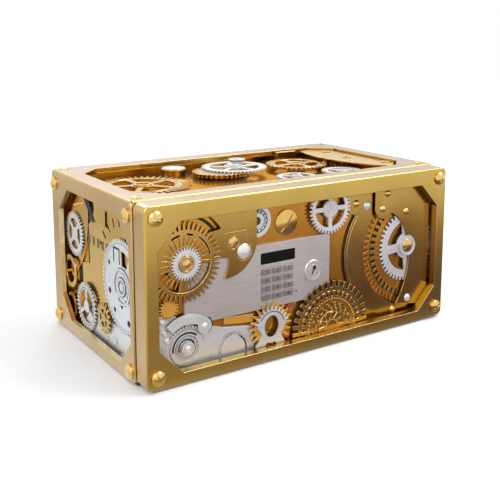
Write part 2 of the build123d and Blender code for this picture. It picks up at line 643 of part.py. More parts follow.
def ornate_gear():
    """Thick gold gear with two rows of teeth, cut off by the bottom of the window."""
    gear = toothed(ORNATE_GEAR, 38, 74, 64, ORNATE_LEVEL, 8.6, 0.45, 0.55)
    gear += toothed(ORNATE_GEAR, 34, 58, 50, 8.6, 10.2, 0.45, 0.55)
    gear -= ring(ORNATE_GEAR, 41, 25, 8.8, 10.2)
    gear += toothed(ORNATE_GEAR, 12, 24, 15, 8.8, 10.8, 0.3, 0.7)
    gear += disc((ORNATE_GEAR[0], ORNATE_GEAR[1] + 9), 10, 0, ORNATE_LEVEL)
    save("ornate_gear", [FRONT * door_room(gear)])


def eye_gear():
    """Silver gear with an eye-shaped bore and two feet."""
    thick = EYE_TOP - EYE_LEVEL
    teeth = toothed(EYE_GEAR, 24, 31, 25, EYE_LEVEL, EYE_TOP, 0.1, 0.7)
    upper = block(-40, 40, 4, 40, EYE_LEVEL, EYE_TOP)
    gear = teeth & Pos(EYE_GEAR[0], EYE_GEAR[1], 0) * upper
    gear += disc(EYE_GEAR, 25, EYE_LEVEL, EYE_TOP)
    gear -= [disc((EYE_GEAR[0] + side * 32, EYE_GEAR[1] - 14), 15, EYE_LEVEL, EYE_TOP) for side in (-1, 1)]
    for foot, turn in zip(EYE_FEET, (58, 118)):
        leg = Box(30, 14, thick, align=LOW)
        gear += Pos(foot[0] * 0.7 + EYE_GEAR[0] * 0.3, 29, EYE_LEVEL) * Rot(0, 0, turn) * leg
        gear += disc(foot, POST_RADIUS, 0, EYE_LEVEL)
    gear -= Pos(EYE_GEAR[0], EYE_GEAR[1], EYE_LEVEL) * extrude(Ellipse(13, 17), thick)
    save("eye_gear", [FRONT * door_room(gear)])


def rotor_group():
    """Silver bridge plate with a swinging weight's crescent over it, fixed here as ornament."""
    outline = Polyline((-92, 9), (-92, 54), (-146, 62), (-176, 71), (-211, 73)) \
        + ThreePointArc((-211, 73), (-240, 99), (-266, 81)) \
        + Polyline((-266, 81), (-266, 9), (-92, 9))
    bridge = extrude(make_face(outline), BRIDGE_TOP)
    bridge -= disc(SMALL_GEAR_POST, 4 + POST_FIT, 0, BRIDGE_TOP)
    bridge -= block(PANEL_LEFT - FIT, PANEL_RIGHT, PANEL_LOW - FIT, PANEL_HIGH, 0, BRIDGE_TOP)
    weight = arc_band(ROTOR, 50, 36, ROTOR_LEVEL, ROTOR_TOP, 42, 131)
    weight += disc(WEIGHT_END, 11, ROTOR_LEVEL, ROTOR_TOP)
    weight += [disc(foot, 4, BRIDGE_TOP, ROTOR_LEVEL) for foot in WEIGHT_FEET]
    races = ring(ROTOR, 26, 19, BRIDGE_TOP, 4.5)
    hub = disc(ROTOR, 10, BRIDGE_TOP, ROTOR_TOP)
    second = toothed((-129, 27), 36, 23, 20, BRIDGE_TOP, 5, 0.4, 0.6)
    save("rotor_plate", [FRONT * door_room(shape) for shape in (bridge, races, hub, second)])
    save("rotor_weight", [FRONT * door_room(weight)])


def small_gears():
    """Small gold gears and the orange bar below the panel."""
    first = toothed((-233, 106.5), 18, 15, 11, 3.2, 5.4, 0.3, 0.6) + disc(SMALL_GEAR_POST, 4, 0, 3.2)
    behind = toothed(EYE_GEAR, 22, 38, 28, 5.2, 7.0, 0.12, 0.7) - disc(EYE_GEAR, 20, 5.2, 7.0)
    behind -= [disc(foot, POST_RADIUS + POST_FIT, 5.2, 7.0) for foot in EYE_FEET]
    behind += disc((EYE_GEAR[0], EYE_GEAR[1] - 24), 4, 0, 5.2)
    bar = slab([(-144, 66), (-94, 60), (-94, 72), (-144, 76)], 0, 4)
    save("small_gears", [FRONT * door_room(shape) for shape in (first, behind, bar)])


def door_fasteners():
    """Corner screws, slotted screws and rivets of the door."""
    depth = ornament_floor - door_front
    gold = [corner_screw(spot, depth, 120 + 40 * count, DOOR_FACE)
            for count, spot in enumerate(door_screw_spots)]
    gold.append(slotted((-129.5, 185.5), 8, 2, BRACKET_TOP, 40))
    gold.append(slotted(BIG_SCREW, 19.5, 3, 2, 48, WIDE_SLOT, DEEP_SLOT) + disc(BIG_SCREW, 19.5, 0, 2))
    gold.append(slotted(HALF_GEAR, 11.5, 2.5, HALF_HUB_TOP, 25, depth=2))
    gold.append(disc(BIG_GEAR, 11, BIG_HUB_LEVEL, 16) + dome(BIG_GEAR, 6, 2, 16))
    for spot, base in (((98.6, 214.1), TAB_TOP), ((160, 225), COVER_TOP), ((150.2, 200.6), COVER_TOP),
                       ((201.8, 190.3), COVER_TOP), ((184, 24), 4)):
        gold.append(dome(spot, RIVET_RADIUS, RIVET_RISE, base))
    save("gold_fasteners", [FRONT * shape for shape in gold])
    silver = [dome((-111.8, 170.4), 11.5, 5, BRACKET_TOP), dome((121.5, 208.6), 7.5, 4, TAB_TOP),
              dome((210.2, 41.5), 6.5, 4, COVER_TOP), dome(WEIGHT_END, 5, 2.5, ROTOR_TOP),
              dome(ROTOR, 5, 2, ROTOR_TOP)]
    for spot in ((-242.4, 88.4), (-239, 72.8), (-235, 60)):
        silver.append(dome(spot, 5, 2.2, BRIDGE_TOP))
    save("silver_rivets", [FRONT * shape for shape in silver])


big_gear_stack()
bracket()
bearing()
silver_spoked_gear()
ring_group()
ornate_gear()
eye_gear()
rotor_group()
small_gears()
door_fasteners()


# Boltwork housing and what it holds
bolt_end = -housing_half - BOLT_TIP_PROUD + BOLT_LENGTH
carriage_low = BOLT_HEIGHTS[0] - CARRIAGE_OVERHANG
carriage_high = BOLT_HEIGHTS[-1] + CARRIAGE_OVERHANG
housing = block(-housing_half, housing_half, door_back, housing_back, housing_low, housing_high)
housing = fillet(housing.edges().group_by(Axis.Y)[-1], EDGE_ROUND)
housing -= block(-housing_half + HOUSING_WALL, housing_half - HOUSING_WALL, door_back,
                 housing_back - HOUSING_WALL, housing_low + HOUSING_WALL, housing_high - HOUSING_WALL)
for height in BOLT_HEIGHTS:
    housing -= Pos(-housing_half, bolt_depth, height) * Rot(0, 90, 0) \
        * Cylinder(BOLT_RADIUS + FIT, 4 * HOUSING_WALL)
save("bolt_housing", [housing])
bolts = []
for height in BOLT_HEIGHTS:
    bolt = Rot(0, 90, 0) * Cylinder(BOLT_RADIUS, BOLT_LENGTH)
    bolt = Pos(bolt_end - BOLT_LENGTH / 2, bolt_depth, height) * bolt
    bolts.append(chamfer(bolt.edges().group_by(Axis.X)[0], 1.5))
save("locking_bolts", bolts)
tooth_pitch = 2 * math.pi * PINION_PITCH_RADIUS / PINION_TEETH
pinion_x = bolt_end + CARRIAGE_WIDTH + CARRIAGE_BACK_GAP + tooth_pitch * (RACK_TEETH - 1) / 2
rack_front = bolt_depth
rack_pitch_line = (BOLT_HEIGHTS[0] + BOLT_HEIGHTS[1]) / 2
pinion_z = rack_pitch_line + PINION_PITCH_RADIUS
carriage = block(bolt_end, bolt_end + CARRIAGE_WIDTH, bolt_depth - CARRIAGE_THICK / 2,
                 bolt_depth + CARRIAGE_THICK / 2, carriage_low, carriage_high)
rack_points = [(bolt_end + CARRIAGE_WIDTH, -RACK_BASE - TOOTH_IN), (bolt_end + CARRIAGE_WIDTH, -TOOTH_IN)]
for number in range(RACK_TEETH):
    middle = pinion_x + (number - (RACK_TEETH - 1) / 2) * tooth_pitch
    for share, level in ((-0.33, -TOOTH_IN), (-0.13, TOOTH_OUT), (0.13, TOOTH_OUT), (0.33, -TOOTH_IN)):
        rack_points.append((middle + share * tooth_pitch, level))
rack_end = rack_points[-1][0] + tooth_pitch
rack_points += [(rack_end, -TOOTH_IN), (rack_end, -RACK_BASE - TOOTH_IN)]
RACK = Plane(origin=(0, rack_front + PINION_THICK, rack_pitch_line), x_dir=(1, 0, 0), z_dir=(0, -1, 0))
carriage += RACK * slab(rack_points, 0, PINION_THICK)
save("bolt_carriage", [carriage])
PINION = Plane(origin=(pinion_x, rack_front + PINION_THICK - 0.25, pinion_z),
               x_dir=(0, 0, -1), z_dir=(0, -1, 0))
half_pitch = 360 / PINION_TEETH / 2
pinion_points = []
for number in range(PINION_TEETH):
    middle = (number + 0.5) * 360 / PINION_TEETH
    for radius, share in ((-TOOTH_IN, -0.3), (TOOTH_OUT, -0.1), (TOOTH_OUT, 0.1), (-TOOTH_IN, 0.3)):
        pinion_points.append(polar(PINION_PITCH_RADIUS + radius, middle + share * 2 * half_pitch))
pinion = slab(pinion_points, 0, PINION_THICK - 0.5)
pinion -= disc((0, 0), MOTOR_SHAFT + PIN_CLEARANCE, 0, PINION_THICK)
save("motor_pinion", [PINION * pinion])
MOTOR = Plane(origin=(pinion_x, door_back, pinion_z), x_dir=(1, 0, 0), z_dir=(0, 1, 0))
motor = disc((0, 0), MOTOR_RADIUS, 0, MOTOR_LENGTH)
motor += disc((0, 0), MOTOR_SHAFT, MOTOR_LENGTH, rack_front + PINION_THICK + 1 - door_back)
save("motor", [MOTOR * motor])
CELL_RADIUS = 7.0
CELL_LENGTH = 50.0
TRAY = (70.0, 130.0, 60.0, 126.0)
tray = block(TRAY[0], TRAY[1], door_back, door_back + 2 * CELL_RADIUS + 3, TRAY[2], TRAY[3])
cells = []
for number in range(4):
    height = TRAY[2] + (TRAY[3] - TRAY[2]) * (number + 0.5) / 4
    tray -= Pos((TRAY[0] + TRAY[1]) / 2, door_back + CELL_RADIUS + 3, height) * Rot(0, 90, 0) \
        * Cylinder(CELL_RADIUS + 0.4, CELL_LENGTH + 1)
    cells.append(Pos((TRAY[0] + TRAY[1]) / 2, door_back + CELL_RADIUS + 3, height) * Rot(0, 90, 0)
                 * Cylinder(CELL_RADIUS, CELL_LENGTH + 1))
save("battery_pack", [tray] + cells)

# Hinges on the right: the case carries the middle knuckle, the door the outer two
hinge_case = []
hinge_door = []
hinge_pins = []
for height in HINGE_HEIGHTS:
    middle = disc((hinge_x, hinge_y), KNUCKLE_RADIUS, height - KNUCKLE_LENGTH / 2, height + KNUCKLE_LENGTH / 2)
    middle += block(hinge_x - 3, hinge_x + 3, hinge_y, 0, height - KNUCKLE_LENGTH / 2, height + KNUCKLE_LENGTH / 2)
    middle -= disc((hinge_x, hinge_y), PIN_RADIUS, height - KNUCKLE_LENGTH, height + KNUCKLE_LENGTH)
    hinge_case.append(middle)
    reach = 1.5 * KNUCKLE_LENGTH + KNUCKLE_GAP
    hinge_pins.append(disc((hinge_x, hinge_y), PIN_RADIUS, height - reach, height + reach))
    for side in (-1, 1):
        start = height + side * (KNUCKLE_LENGTH / 2 + KNUCKLE_GAP)
        ends = sorted((start, start + side * KNUCKLE_LENGTH))
        knuckle = disc((hinge_x, hinge_y), KNUCKLE_RADIUS, ends[0], ends[1])
        knuckle += block(hinge_x - HINGE_NOTCH + KNUCKLE_RADIUS, hinge_x, hinge_y - 3, hinge_y + 3, ends[0], ends[1])
        knuckle -= disc((hinge_x, hinge_y), PIN_RADIUS + PIN_CLEARANCE, ends[0], ends[1])
        hinge_door.append(knuckle)
save("case_hinges", hinge_case + hinge_pins)
save("door_hinges", hinge_door)


# Ornament behind the side and top windows
def side_gold(sign):
    """Gold plates and gears of a side: along is measured from the door line to the back."""
    def at(along, height):
        return sign * along, height
    big = Polyline(at(6, 60), at(6, 252), at(178, 252)) \
        + ThreePointArc(at(178, 252), at(164, 215), at(186, 190)) \
        + Polyline(at(186, 190), at(184, 128), at(216, 122), at(216, 78), at(170, 74), at(150, 68), at(6, 60))
    plate = extrude(make_face(big), 3)
    plate -= block(*sorted((sign * 113, sign * 123)), 198, 222, 0, 3)
    for number in range(5):
        angle = 100 + 13 * number
        across, up = polar(92, angle)
        plate -= Pos(sign * (57 - across), 125 + up, 0) * Rot(0, 0, sign * (90 - angle)) * Box(5, 15, 3, align=LOW)
    tall = Polyline(at(200, 252), at(296, 252), at(296, 60), at(270, 60), at(250, 95)) \
        + ThreePointArc(at(250, 95), at(196, 165), at(200, 252))
    back_plate = extrude(make_face(tall), 2.5)
    spiral = ring(at(258, 98), 27, 19, 6.5, 8.5) + disc(at(280, 92), 4, 2.5, 6.5)
    ornate = toothed(at(123.5, 59), 16, 24, 18, 7.4, 9.4, 0.4, 0.6)
    ornate -= spoke_gaps(at(123.5, 59), 5, 6, 14, 4, 7.4, 9.4)
    ornate += disc(at(123.5, 59), 4, 5, 7.4)
    small = toothed(at(262, 40), 20, 20, 15, 3, 6, 0.35, 0.6) + disc(at(262, 40), 5, 0, 3)
    domes = [dome(at(242, 209), 5, 3, 2.5), dome(at(228, 213), 5, 3, 2.5), dome(at(213, 216), 5, 3, 2.5)]
    return [side_room(shape, sign) for shape in [plate, back_plate, spiral, ornate, small] + domes]


def side_silver(sign):
    """Silver disc, lower plate and spoked gears of a side."""
    def at(along, height):
        return sign * along, height
    centre = at(57, 125)
    rotor = toothed(centre, 64, 69, 65.5, 5.2, 7, 0.4, 0.6)
    rotor -= ring(centre, 52, 30, 5.2, 7) & slab([centre, at(64, 220), at(20, 200)], 5.2, 7)
    for angle, reach, hole in ((200, 48, 5), (235, 50, 4), (262, 30, 4), (290, 52, 5), (150, 52, 4)):
        across, up = polar(reach, angle)
        rotor -= disc((centre[0] + across * -sign, centre[1] + up), hole, 5.2, 7)
    rotor += ring(centre, 20, 16, 7, 8.2)
    rotor += disc(centre, 6, 3, 9)
    lower = slab([at(6, 9), at(6, 55), at(100, 58), at(140, 62), at(165, 70), at(215, 22), at(215, 9)], 0, 5)
    lower -= disc(at(192, 57), 6, 0, 5)
    spoked = toothed(at(192, 57), 34, 38, 32.5, 6.2, 8.8, 0.35, 0.6)
    spoked -= spoke_gaps(at(192, 57), 3, 9, 27, 6, 6.2, 8.8, 90)
    spoked += disc(at(192, 57), 5.5, 0, 6.2)
    upper = toothed(at(241, 163), 36, 36, 31, 3.2, 5.6, 0.35, 0.6)
    upper -= spoke_gaps(at(241, 163), 4, 11, 25, 6, 3.2, 5.6, 45)
    upper += disc(at(241, 163), 5, 2.5, 3.2)
    return [side_room(shape, sign) for shape in (rotor, lower, spoked, upper)]


def top_gold():
    """Gold drum, toothed wheels, flat bridge and stop under the top window."""
    drum = disc((-95, 228), 21, 0, 12.5)
    left = toothed((-190, 150), 44, 76, 60, 5, 7.5, 0.12, 0.5)
    left -= spoke_gaps((-190, 150), 5, 18, 50, 9, 5, 7.5, 20)
    left += disc((-190, 150), 10, 0, 5)
    wheel = toothed((-32, 183), 34, 46, 40, 3.5, 9, 0.35, 0.6) + disc((-32, 183), 12, 0, 3.5)
    right = toothed((124, 178), 40, 54, 47, 6, 8.5, 0.35, 0.6)
    right -= spoke_gaps((124, 178), 4, 16, 38, 8, 6, 8.5)
    right += disc((124, 178), 9, 0, 6)
    bridge = Polyline((190, 255), (212, 262), (249, 226), (249, 62), (222, 36)) \
        + ThreePointArc((222, 36), (178, 150), (190, 255))
    flat = Pos(0, 0, 13) * extrude(make_face(bridge), 2)
    flat += [disc(post, 7, 0, 13) for post in ((236, 70), (226, 222))]
    stop = block(136, 178, 252, 262, 0, 17)
    return [top_room(shape) for shape in (drum, left, wheel, right, flat)] + [stop]


def top_silver():
    """Silver wheels under the top window."""
    cap = disc((-95, 228), 19, 12.5, 13.8)
    wheel = toothed((5, 196), 52, 56, 51, 9, 11.5, 0.4, 0.6)
    wheel -= spoke_gaps((5, 196), 5, 18, 43, 7, 9, 11.5)
    wheel += disc((22, 201), 7, 0, 9)
    crown = toothed((40, 243), 22, 15, 12, 12.5, 15, 0.35, 0.6) + disc((44, 248), 4, 0, 12.5)
    small = toothed((62, 92), 32, 34, 30, 3, 5, 0.4, 0.6)
    small -= spoke_gaps((62, 92), 4, 10, 25, 5, 3, 5, 45)
    small += disc((62, 92), 7, 0, 3)
    far = toothed((150, 84), 30, 34, 29, 5, 7.5, 0.35, 0.6)
    far -= spoke_gaps((150, 84), 3, 10, 23, 6, 5, 7.5)
    far += disc((150, 84), 6, 0, 5)
    return [top_room(shape) for shape in (cap, wheel, crown, small, far)]


save("case_gears_gold", [LEFT * shape for shape in side_gold(-1)] + [RIGHT * shape for shape in side_gold(1)]
     + [TOP * shape for shape in top_gold()])
save("case_gears_silver", [LEFT * shape for shape in side_silver(-1)] + [RIGHT * shape for shape in side_silver(1)]
     + [TOP * shape for shape in top_silver()])
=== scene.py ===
import bpy
import bmesh
import math
from mathutils import Matrix, Vector


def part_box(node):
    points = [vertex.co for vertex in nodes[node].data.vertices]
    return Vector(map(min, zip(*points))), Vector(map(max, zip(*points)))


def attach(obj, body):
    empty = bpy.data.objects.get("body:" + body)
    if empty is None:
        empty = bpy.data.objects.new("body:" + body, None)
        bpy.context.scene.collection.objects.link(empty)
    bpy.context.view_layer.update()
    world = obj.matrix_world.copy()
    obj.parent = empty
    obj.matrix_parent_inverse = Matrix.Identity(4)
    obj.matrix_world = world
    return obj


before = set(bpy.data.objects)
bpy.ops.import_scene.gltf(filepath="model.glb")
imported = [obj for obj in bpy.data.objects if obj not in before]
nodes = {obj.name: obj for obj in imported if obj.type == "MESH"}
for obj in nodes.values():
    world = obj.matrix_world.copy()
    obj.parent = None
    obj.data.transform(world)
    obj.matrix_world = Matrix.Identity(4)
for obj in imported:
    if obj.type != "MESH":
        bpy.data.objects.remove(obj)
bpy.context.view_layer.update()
MM = 0.001

# Camera at the angle of the photograph
# It stands to the left of the front and looks slightly down; the small shift is the photograph's framing.
camera_data = bpy.data.cameras.new("camera")
camera_data.sensor_width = 36
camera_data.lens = 57.26
camera_data.shift_y = -0.176
camera = bpy.data.objects.new("camera", camera_data)
camera.location = (-0.7111, -1.0759, 0.4811)
camera.rotation_euler = (math.radians(90 - 9.35), 0, math.radians(-33.37))
bpy.context.scene.collection.objects.link(camera)
bpy.context.scene.camera = camera

# Floor
# Plain and pale: the far floor runs into the white background.
# The floor near the safe keeps its soft shadow.
# Metal faces see a painted reflection in it: painted dim, warm shade in front of the door and painted
# brightness beside the left wall.
floor_mesh = bpy.data.meshes.new("floor")
FLOOR_REACH = 6.0
floor_mesh.from_pydata([(-FLOOR_REACH, -FLOOR_REACH, 0), (FLOOR_REACH, -FLOOR_REACH, 0),
                        (FLOOR_REACH, FLOOR_REACH, 0), (-FLOOR_REACH, FLOOR_REACH, 0)], [], [(0, 1, 2, 3)])
floor = bpy.data.objects.new("floor", floor_mesh)
bpy.context.scene.collection.objects.link(floor)
floor_paint = bpy.data.materials.new("floor_paint")
floor_paint.use_nodes = True
tree = floor_paint.node_tree
tree.nodes.clear()
output = tree.nodes.new("ShaderNodeOutputMaterial")
place = tree.nodes.new("ShaderNodeTexCoord")


def floor_distance(shift, scale):
    """Distance on the floor from a point, with x and y scaled."""
    mapping = tree.nodes.new("ShaderNodeMapping")
    mapping.inputs["Location"].default_value = (*shift, 0)
    mapping.inputs["Scale"].default_value = (*scale, 1)
    tree.links.new(place.outputs["Object"], mapping.inputs["Vector"])
    length = tree.nodes.new("ShaderNodeVectorMath")
    length.operation = "LENGTH"
    tree.links.new(mapping.outputs["Vector"], length.inputs[0])
    return length.outputs["Value"]


def painted_reflection_ramp(value, stops):
    """Painted reflection: colour of the floor as a mirror sees it, by distance."""
    ramp = tree.nodes.new("ShaderNodeValToRGB")
    while len(ramp.color_ramp.elements) < len(stops):
        ramp.color_ramp.elements.new(0.5)
    for element, (position, colour) in zip(ramp.color_ramp.elements, stops):
        element.position = position
        element.color = (*colour, 1)
    tree.links.new(value, ramp.inputs["Fac"])
    return ramp.outputs["Color"]


lit = tree.nodes.new("ShaderNodeBsdfDiffuse")
lit.inputs["Color"].default_value = (0.90, 0.925, 0.96, 1)
lift = tree.nodes.new("ShaderNodeEmission")
rise = tree.nodes.new("ShaderNodeMapRange")
rise.inputs["From Min"].default_value = 0.6
rise.inputs["From Max"].default_value = 2.2
rise.inputs["To Min"].default_value = 0.03
rise.inputs["To Max"].default_value = 0.5
tree.links.new(floor_distance((0, 0), (1, 1)), rise.inputs["Value"])
tree.links.new(rise.outputs["Result"], lift.inputs["Strength"])
bright = tree.nodes.new("ShaderNodeAddShader")
tree.links.new(lit.outputs["BSDF"], bright.inputs[0])
tree.links.new(lift.outputs["Emission"], bright.inputs[1])
# Painted reflection: dim, warm shade before the door and brightness beside the left wall, seen by mirror
# rays only
front_painted_reflection = painted_reflection_ramp(floor_distance((-0.28, 0.3), (0.62, 1)),
                        [(0.08, (0.16, 0.12, 0.17)), (0.28, (0.24, 0.18, 0.19)), (0.45, (0.42, 0.33, 0.28)),
                         (0.62, (0.84, 0.80, 0.74)), (0.8, (1, 1, 1))])
side_painted_reflection = painted_reflection_ramp(floor_distance((0.28, 0), (1, 0.4)),
                       [(0.05, (0.88, 0.95, 1.0)), (0.5, (0.60, 0.58, 0.52)), (0.95, (1, 1, 1))])
across = tree.nodes.new("ShaderNodeSeparateXYZ")
tree.links.new(place.outputs["Object"], across.inputs["Vector"])
before = tree.nodes.new("ShaderNodeMapRange")
before.inputs["From Min"].default_value = -0.10
before.inputs["From Max"].default_value = -0.20
tree.links.new(across.outputs["Y"], before.inputs["Value"])
painted_reflection_zones = tree.nodes.new("ShaderNodeMix")
painted_reflection_zones.data_type = "RGBA"
tree.links.new(before.outputs["Result"], painted_reflection_zones.inputs["Factor"])
tree.links.new(side_painted_reflection, painted_reflection_zones.inputs["A"])
tree.links.new(front_painted_reflection, painted_reflection_zones.inputs["B"])
# Painted reflection: the floor glows in these colours for mirror rays
painted_reflection_light = tree.nodes.new("ShaderNodeEmission")
tree.links.new(painted_reflection_zones.outputs["Result"], painted_reflection_light.inputs["Color"])
path = tree.nodes.new("ShaderNodeLightPath")
blend = tree.nodes.new("ShaderNodeMixShader")
tree.links.new(path.outputs["Is Glossy Ray"], blend.inputs["Fac"])
tree.links.new(bright.outputs["Shader"], blend.inputs[1])
tree.links.new(painted_reflection_light.outputs["Emission"], blend.inputs[2])
tree.links.new(blend.outputs["Shader"], output.inputs["Surface"])
floor_mesh.materials.append(floor_paint)

# White world and soft studio lamps
# The main lamp stands right and high, so the shadow falls softly to the left.
world = bpy.data.worlds.new("world")
bpy.context.scene.world = world
world.use_nodes = True
tree = world.node_tree
tree.nodes.clear()
output = tree.nodes.new("ShaderNodeOutputWorld")
sky = tree.nodes.new("ShaderNodeBackground")
sky.inputs["Color"].default_value = (1, 1, 1, 1)
sky.inputs["Strength"].default_value = 0.72
white = tree.nodes.new("ShaderNodeBackground")
white.inputs["Color"].default_value = (1, 1, 1, 1)
white.inputs["Strength"].default_value = 1.0
path = tree.nodes.new("ShaderNodeLightPath")
seen = tree.nodes.new("ShaderNodeMath")
seen.operation = "MAXIMUM"
tree.links.new(path.outputs["Is Camera Ray"], seen.inputs[0])
tree.links.new(path.outputs["Is Glossy Ray"], seen.inputs[1])
blend = tree.nodes.new("ShaderNodeMixShader")
tree.links.new(seen.outputs["Value"], blend.inputs["Fac"])
tree.links.new(sky.outputs["Background"], blend.inputs[1])
tree.links.new(white.outputs["Background"], blend.inputs[2])
tree.links.new(blend.outputs["Shader"], output.inputs["Surface"])


def lamp(name, place, size, power):
    """Soft square lamp aimed at the middle of the safe."""
    data = bpy.data.lights.new(name, "AREA")
    data.energy = power
    data.size = size
    data.shape = "SQUARE"
    obj = bpy.data.objects.new(name, data)
    obj.location = place
    aim = Vector((0, 0, 0.12)) - Vector(place)
    obj.rotation_euler = aim.to_track_quat("-Z", "Y").to_euler()
    bpy.context.scene.collection.objects.link(obj)


lamp("key_lamp", (1.3, -0.9, 2.2), 1.4, 34)
lamp("fill_lamp", (-1.6, -1.2, 1.6), 1.6, 16)
lamp("back_lamp", (0.2, 1.8, 2.0), 1.6, 20)


# Metal finish shared by the plated pieces
# Colour drifts over the surface and corners get a painted highlight.
# Recesses get painted shade and fine brushed lines cross the faces.
def metal_group():
    """Shader group: colour, roughness and height of a plated, lightly brushed metal, with painted highlights
    on corners and painted shade in recesses.
    """
    group = bpy.data.node_groups.new("plated_metal", "ShaderNodeTree")
    for name, kind in (("Bright", "Color"), ("Deep", "Color"), ("Edge", "Color"), ("Tint", "Color"),
                       ("Edge Mask", "Float"), ("Recess", "Float"), ("Roughness", "Float"),
                       ("Brush Scale", "Vector"), ("Streak", "Float")):
        group.interface.new_socket(name=name, in_out="INPUT", socket_type="NodeSocket" + kind)
    for name, kind in (("Color", "Color"), ("Roughness", "Float"), ("Height", "Float")):
        group.interface.new_socket(name=name, in_out="OUTPUT", socket_type="NodeSocket" + kind)
    n = group.nodes
    link = group.links.new
    given = n.new("NodeGroupInput")
    result = n.new("NodeGroupOutput")
    place = n.new("ShaderNodeTexCoord")
    drift = n.new("ShaderNodeTexNoise")
    drift.inputs["Scale"].default_value = 9.0
    drift.inputs["Detail"].default_value = 3.0
    link(place.outputs["Object"], drift.inputs["Vector"])
    tone = n.new("ShaderNodeMix")
    tone.data_type = "RGBA"
    spread = n.new("ShaderNodeMapRange")
    spread.inputs["From Min"].default_value = 0.35
    spread.inputs["From Max"].default_value = 0.7
    link(drift.outputs["Fac"], spread.inputs["Value"])
    link(spread.outputs["Result"], tone.inputs["Factor"])
    link(given.outputs["Bright"], tone.inputs["A"])
    link(given.outputs["Deep"], tone.inputs["B"])
    # Painted shade: in recesses the colour is multiplied by the Tint
    dark = n.new("ShaderNodeMix")
    dark.data_type = "RGBA"
    dark.blend_type = "MULTIPLY"
    link(given.outputs["Recess"], dark.inputs["Factor"])
    link(tone.outputs["Result"], dark.inputs["A"])
    link(given.outputs["Tint"], dark.inputs["B"])
    # Painted highlight: corners picked by the edge mask take the bright Edge colour
    edge_highlighted = n.new("ShaderNodeMix")
    edge_highlighted.data_type = "RGBA"
    link(given.outputs["Edge Mask"], edge_highlighted.inputs["Factor"])
    link(dark.outputs["Result"], edge_highlighted.inputs["A"])
    link(given.outputs["Edge"], edge_highlighted.inputs["B"])
    brush_place = n.new("ShaderNodeVectorMath")
    brush_place.operation = "MULTIPLY"
    link(place.outputs["Object"], brush_place.inputs[0])
    link(given.outputs["Brush Scale"], brush_place.inputs[1])
    brush = n.new("ShaderNodeTexNoise")
    brush.inputs["Scale"].default_value = 1.0
    brush.inputs["Detail"].default_value = 4.0
    link(brush_place.outputs["Vector"], brush.inputs["Vector"])
    smudge = n.new("ShaderNodeTexNoise")
    smudge.inputs["Scale"].default_value = 26.0
    smudge.inputs["Detail"].default_value = 5.0
    link(place.outputs["Object"], smudge.inputs["Vector"])
    uneven = n.new("ShaderNodeMapRange")
    uneven.inputs["To Min"].default_value = 0.75
    uneven.inputs["To Max"].default_value = 1.3
    link(smudge.outputs["Fac"], uneven.inputs["Value"])
    streak = n.new("ShaderNodeMapRange")
    streak.inputs["From Min"].default_value = 0.3
    streak.inputs["From Max"].default_value = 0.7
    streak.inputs["To Max"].default_value = 1.0
    link(brush.outputs["Fac"], streak.inputs["Value"])
    darkest = n.new("ShaderNodeMath")
    darkest.operation = "SUBTRACT"
    darkest.inputs[0].default_value = 1.0
    link(given.outputs["Streak"], darkest.inputs[1])
    link(darkest.outputs["Value"], streak.inputs["To Min"])
    lined = n.new("ShaderNodeVectorMath")
    lined.operation = "SCALE"
    link(edge_highlighted.outputs["Result"], lined.inputs[0])
    link(streak.outputs["Result"], lined.inputs["Scale"])
    link(lined.outputs["Vector"], result.inputs["Color"])
    rough = n.new("ShaderNodeMath")
    rough.operation = "MULTIPLY"
    link(uneven.outputs["Result"], rough.inputs[0])
    link(given.outputs["Roughness"], rough.inputs[1])
    link(rough.outputs["Value"], result.inputs["Roughness"])
    link(brush.outputs["Fac"], result.inputs["Height"])
    return group


plated_metal = metal_group()
ALONG_X = (30, 2600, 2600)
ALONG_Y = (2600, 30, 2600)
ALL_WAYS = (700, 700, 700)


